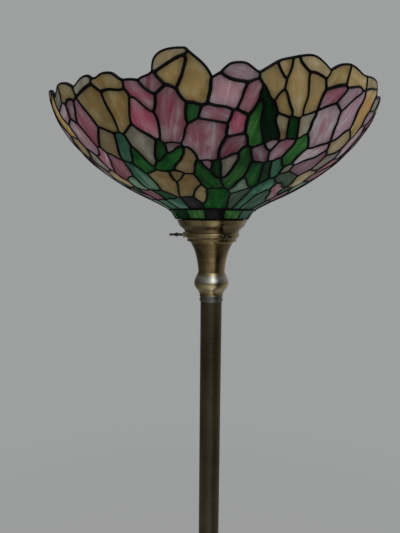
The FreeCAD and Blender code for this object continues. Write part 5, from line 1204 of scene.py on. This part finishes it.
# down the pole and round a quarter turn towards the back
down = [at(0, 0, CUP_TOP_MM - 12.5), at(0, 0, BASE_HEIGHT + BEND_RADIUS)]
for k in range(1, 13):
    a = math.radians(90.0 * k / 12)
    down.append(at(0, BEND_RADIUS * (1 - math.cos(a)),
                   BASE_HEIGHT + BEND_RADIUS * (1 - math.sin(a))))
to_switch = [
    at(0, 142.0, BASE_HEIGHT), at(-2.0, 154.0, 7.8), at(-7.0, 167.0, 5.2),
    at(-15.0, 180.0, 3.5), at(-27.0, 193.0, REST), at(-48.0, 207.0, REST),
    at(-76.0, 214.0, REST), at(-104.0, 212.0, REST), at(-128.0, 200.0, 3.4),
    at(-143.0, 187.0, 5.4), at(-155.0, 174.5, 8.4),
    SWITCH - SWITCH_WAY * 41.0 + at(0, 0, 10.3), SWITCH - SWITCH_WAY * 33.0 + at(0, 0, 10.5)]
flex_object("flex_to_lamp", down + spline(to_switch, 10), "cord_inner")
leave = SWITCH + SWITCH_WAY * 33.0 + at(0, 0, 10.5)
to_plug = [
    leave, leave + SWITCH_WAY * 8.0 + at(0, 0, -0.3), leave + SWITCH_WAY * 20.0 + at(0, 0, -3.2),
    leave + SWITCH_WAY * 32.0 + at(0, 0, -6.2), at(-250.0, 52.0, REST), at(-262.0, 16.0, REST),
    at(-268.0, -26.0, REST), at(-262.0, -76.0, REST), at(-244.0, -124.0, REST),
    at(-218.0, -164.0, 3.3), at(-190.0, -194.0, 4.6), at(-164.0, -214.0, 8.4),
    PLUG - PLUG_WAY * 30.0 + at(0, 0, 11.2), PLUG - PLUG_WAY * 17.0 + at(0, 0, 11.5)]
flex_object("flex_to_plug", spline(to_plug, 10), "cord_tail")


def coil_spring():
    """The foot switch's return spring: closed ends, four turns, built at its rest length; the real
    one shortens under the button.
    """
    turns, steps, sides = 4.0, 160, 10
    coil_radius, wire_radius = 0.0056, 0.00045
    low, high = 0.0097, 0.0210
    x, y = float(SWITCH[0]) / 1000.0, float(SWITCH[1]) / 1000.0
    verts = []
    for i in range(steps + 1):
        t = i / steps
        a = 2 * math.pi * turns * t
        z = low + (high - low) * (3 * t * t - 2 * t**3) ** 0.9
        for k in range(sides):
            b = 2 * math.pi * k / sides
            radius = coil_radius + wire_radius * math.cos(b)
            verts.append((x + radius * math.cos(a), y + radius * math.sin(a),
                          z + wire_radius * math.sin(b)))
    ob = mesh_object("switch_coil", verts, tube_faces(steps + 1, sides), [STEEL])
    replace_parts(ob, "switch_spring")
    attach(ob, "stand")
    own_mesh(ob)


coil_spring()


# ---- floor --------------------------------------------------------------------------------------
FLOOR_RADIUS = 4.5
FLOOR_Z = -0.0004


def floor_material():
    """Pale floor that fades out towards its edge and is faint in reflections."""
    g = material_graph("pale_floor")
    place = g.object_place()
    cloud = g.noise(place, scale=2.2, detail=4.0, roughness=0.55)
    fine = g.noise(place, scale=160.0, roughness=0.6)
    colour = g.mix(g.multiply(cloud, 0.5), (0.74, 0.75, 0.745), (0.80, 0.805, 0.80))
    face = g.principled(colour, 0.62, g.bump(fine, strength=0.05, distance=0.001),
                        Specular_IOR_Level=0.25)
    x, y, _ = g.xyz(place)
    radius = g.math("SQRT", g.add(g.multiply(x, x), g.multiply(y, y)))
    fade = g.ramp(g.math("DIVIDE", radius, FLOOR_RADIUS), ((0.14, 0), (0.62, 1)), "EASE")
    reflected = g.multiply(g.node("LightPath").outputs["Is Glossy Ray"], 0.75)
    clear = g.math("MAXIMUM", fade, reflected)
    return g.finish(g.mix_shader(clear, face, g.node("BsdfTransparent")))


def floor_disc():
    rings, sides = 24, 96
    verts = [(0.0, 0.0, FLOOR_Z)]
    for i in range(1, rings + 1):
        radius = FLOOR_RADIUS * (i / rings)**1.6
        for k in range(sides):
            a = 2 * math.pi * k / sides
            verts.append((radius * math.cos(a), radius * math.sin(a), FLOOR_Z))
    faces = [(0, 1 + k, 1 + (k + 1) % sides) for k in range(sides)]
    faces += ring_quads(rings, sides, 1)
    ob = mesh_object("studio_floor", verts, faces, [floor_material()])
    return ob


studio_floor = floor_disc()

# ---- world --------------------------------------------------------------------------------------
# brightness by one part of the ray direction: (part, brightness)
FRONT_TO_BACK = ((-1.0, 0.025), (-0.16, 0.045), (0.24, 0.155), (1.0, 0.24))
UPWARD = ((-0.10, 0.0), (0.60, 0.25), (1.0, 0.43))
LEFT_TO_RIGHT = ((-1.0, 0.42), (-0.1, 0.72), (0.5, 1.15), (1.0, 1.50))
# brightness seen by polished metal, by radians round from the front, + to the right
WALL = ((-3.1416, 0.28), (-2.50, 0.09), (-1.85, 0.07), (-1.39, 0.11), (-1.00, 0.15),
        (-0.41, 0.30), (0.00, 0.44), (0.30, 0.36), (0.62, 0.05), (1.00, 0.03),
        (1.40, 0.12), (1.80, 0.20), (2.30, 0.32), (3.1416, 0.28))
CEILING = ((-3.1416, 0.40), (-1.85, 0.12), (-1.20, 0.18), (-0.68, 0.30), (-0.20, 0.80),
           (0.22, 2.40), (0.50, 1.30), (0.80, 0.25), (1.26, 0.10), (2.20, 0.30), (3.1416, 0.40))
BELOW = ((-3.1416, 0.12), (-1.92, 0.03), (-1.39, 0.09), (-0.65, 0.20), (-0.20, 0.46),
         (0.25, 0.66), (0.48, 0.34), (0.66, 0.03), (1.05, 0.015), (1.40, 0.08),
         (1.88, 0.17), (3.1416, 0.12))
CEILING_TINT = (0.84, 1.0, 1.30)
BACKDROP = (0.342, 0.352, 0.350)


def studio_world():
    world = bpy.data.worlds.new("studio")
    bpy.context.scene.world = world
    g = Graph(world, "OutputWorld")
    x, y, z = g.xyz(g.node("TexCoord").outputs["Generated"])

    def graded(socket, stops, limit=1.0, interpolation="EASE"):
        """Ramp over a socket that runs from -limit to limit."""
        span = g.node("MapRange", {"From Min": -limit, "From Max": limit, "Value": socket})
        return g.ramp(span.outputs[0],
                      [((place + limit) / (limit + limit), value) for place, value in stops],
                      interpolation)

    # soft room light on the lamp: dim in front and on the left, brighter behind, on the right
    # and overhead
    level = g.multiply(g.add(graded(y, FRONT_TO_BACK), graded(z, UPWARD)),
                       graded(x, LEFT_TO_RIGHT))
    round_angle = g.math("ARCTAN2", x, g.multiply(y, -1.0))
    wall, ceiling, below = (graded(round_angle, stops, 3.1416, "LINEAR")
                            for stops in (WALL, CEILING, BELOW))
    ceiling = g.mix(0.5, ceiling, g.mix(1.0, ceiling, CEILING_TINT, "MULTIPLY"))
    seen = g.mix(graded(z, ((0.16, 0.0), (0.50, 1.0))), wall, ceiling)
    seen = g.mix(graded(z, ((-0.70, 1.0), (-0.25, 0.0))), seen, below)
    room, reflected, backdrop = (g.node("Background", {"Color": colour})
                                 for colour in (level, seen, BACKDROP))
    ray = g.node("LightPath").outputs
    lit = g.mix_shader(ray["Is Glossy Ray"], room, reflected)
    g.finish(g.mix_shader(ray["Is Camera Ray"], lit, backdrop))


studio_world()

# ---- lights -------------------------------------------------------------------------------------
# most lights shine on the lamp only, so that the floor stays evenly lit
no_floor = bpy.data.collections.new("no_floor")
no_floor.objects.link(studio_floor)
no_floor.collection_objects[0].light_linking.link_state = "EXCLUDE"


def softbox(name, place, target, width, height, power, colour=(1, 1, 1), floor=False):
    light = bpy.data.lights.new(name, "AREA")
    light.shape = "RECTANGLE"
    light.size, light.size_y = width, height
    light.energy = power
    light.color = colour
    ob = bpy.data.objects.new(name, light)
    bpy.context.scene.collection.objects.link(ob)
    ob.location = place
    ob.rotation_euler = (Vector(target) - Vector(place)).to_track_quat("-Z", "Y").to_euler()
    ob.visible_glossy = False
    if not floor:
        ob.light_linking.receiver_collection = no_floor


softbox("key_front", place=(0.7, -1.9, 2.3), target=(0.05, 0, 1.72), width=0.6, height=0.9,
        power=2.2, colour=(1.0, 0.985, 0.95))
softbox("fill_right", place=(1.7, -0.75, 1.95), target=(0.05, 0, 1.74), width=0.7, height=0.7,
        power=17.0, colour=(1.0, 0.99, 0.98))
softbox("top", place=(-0.75, 0.65, 2.9), target=(0.08, -0.08, 1.72), width=1.0, height=1.0,
        power=14.0, colour=(1.0, 0.99, 0.97), floor=True)
softbox("base_fill", place=(-1.6, -0.35, 0.95), target=(0, 0, 0.95), width=0.7, height=1.0,
        power=14.0)

# ---- camera: in front of the shade, tipped down 7 degrees, seeing 67 degrees from top to bottom -
CAMERA_PLACE = (-0.0005, -0.4694, CUP_TOP + 0.0031)
CAMERA_PITCH, CAMERA_YAW, CAMERA_ROLL = map(math.radians, (7.05, -1.601, 0.43))


def add_camera():
    data = bpy.data.cameras.new("camera")
    data.sensor_fit = "VERTICAL"
    data.sensor_height = 36.0
    data.lens = 27.01688555
    data.clip_start = 0.02
    camera = bpy.data.objects.new("camera", data)
    bpy.context.scene.collection.objects.link(camera)
    forward = Vector((math.sin(CAMERA_YAW) * math.cos(CAMERA_PITCH),
                      math.cos(CAMERA_YAW) * math.cos(CAMERA_PITCH), -math.sin(CAMERA_PITCH)))
    level = Vector((math.cos(CAMERA_YAW), -math.sin(CAMERA_YAW), 0.0))
    upright = level.cross(forward)
    right = level * math.cos(CAMERA_ROLL) + upright * math.sin(CAMERA_ROLL)
    up = -level * math.sin(CAMERA_ROLL) + upright * math.cos(CAMERA_ROLL)
    matrix = Matrix((right, up, -forward)).transposed().to_4x4()
    matrix.translation = Vector(CAMERA_PLACE)
    camera.matrix_world = matrix
    bpy.context.scene.camera = camera


add_camera()
view = bpy.context.scene.view_settings
view.view_transform = "Standard"
view.look = "None"
view.exposure = 0.0
view.gamma = 1.0

bpy.context.view_layer.update()
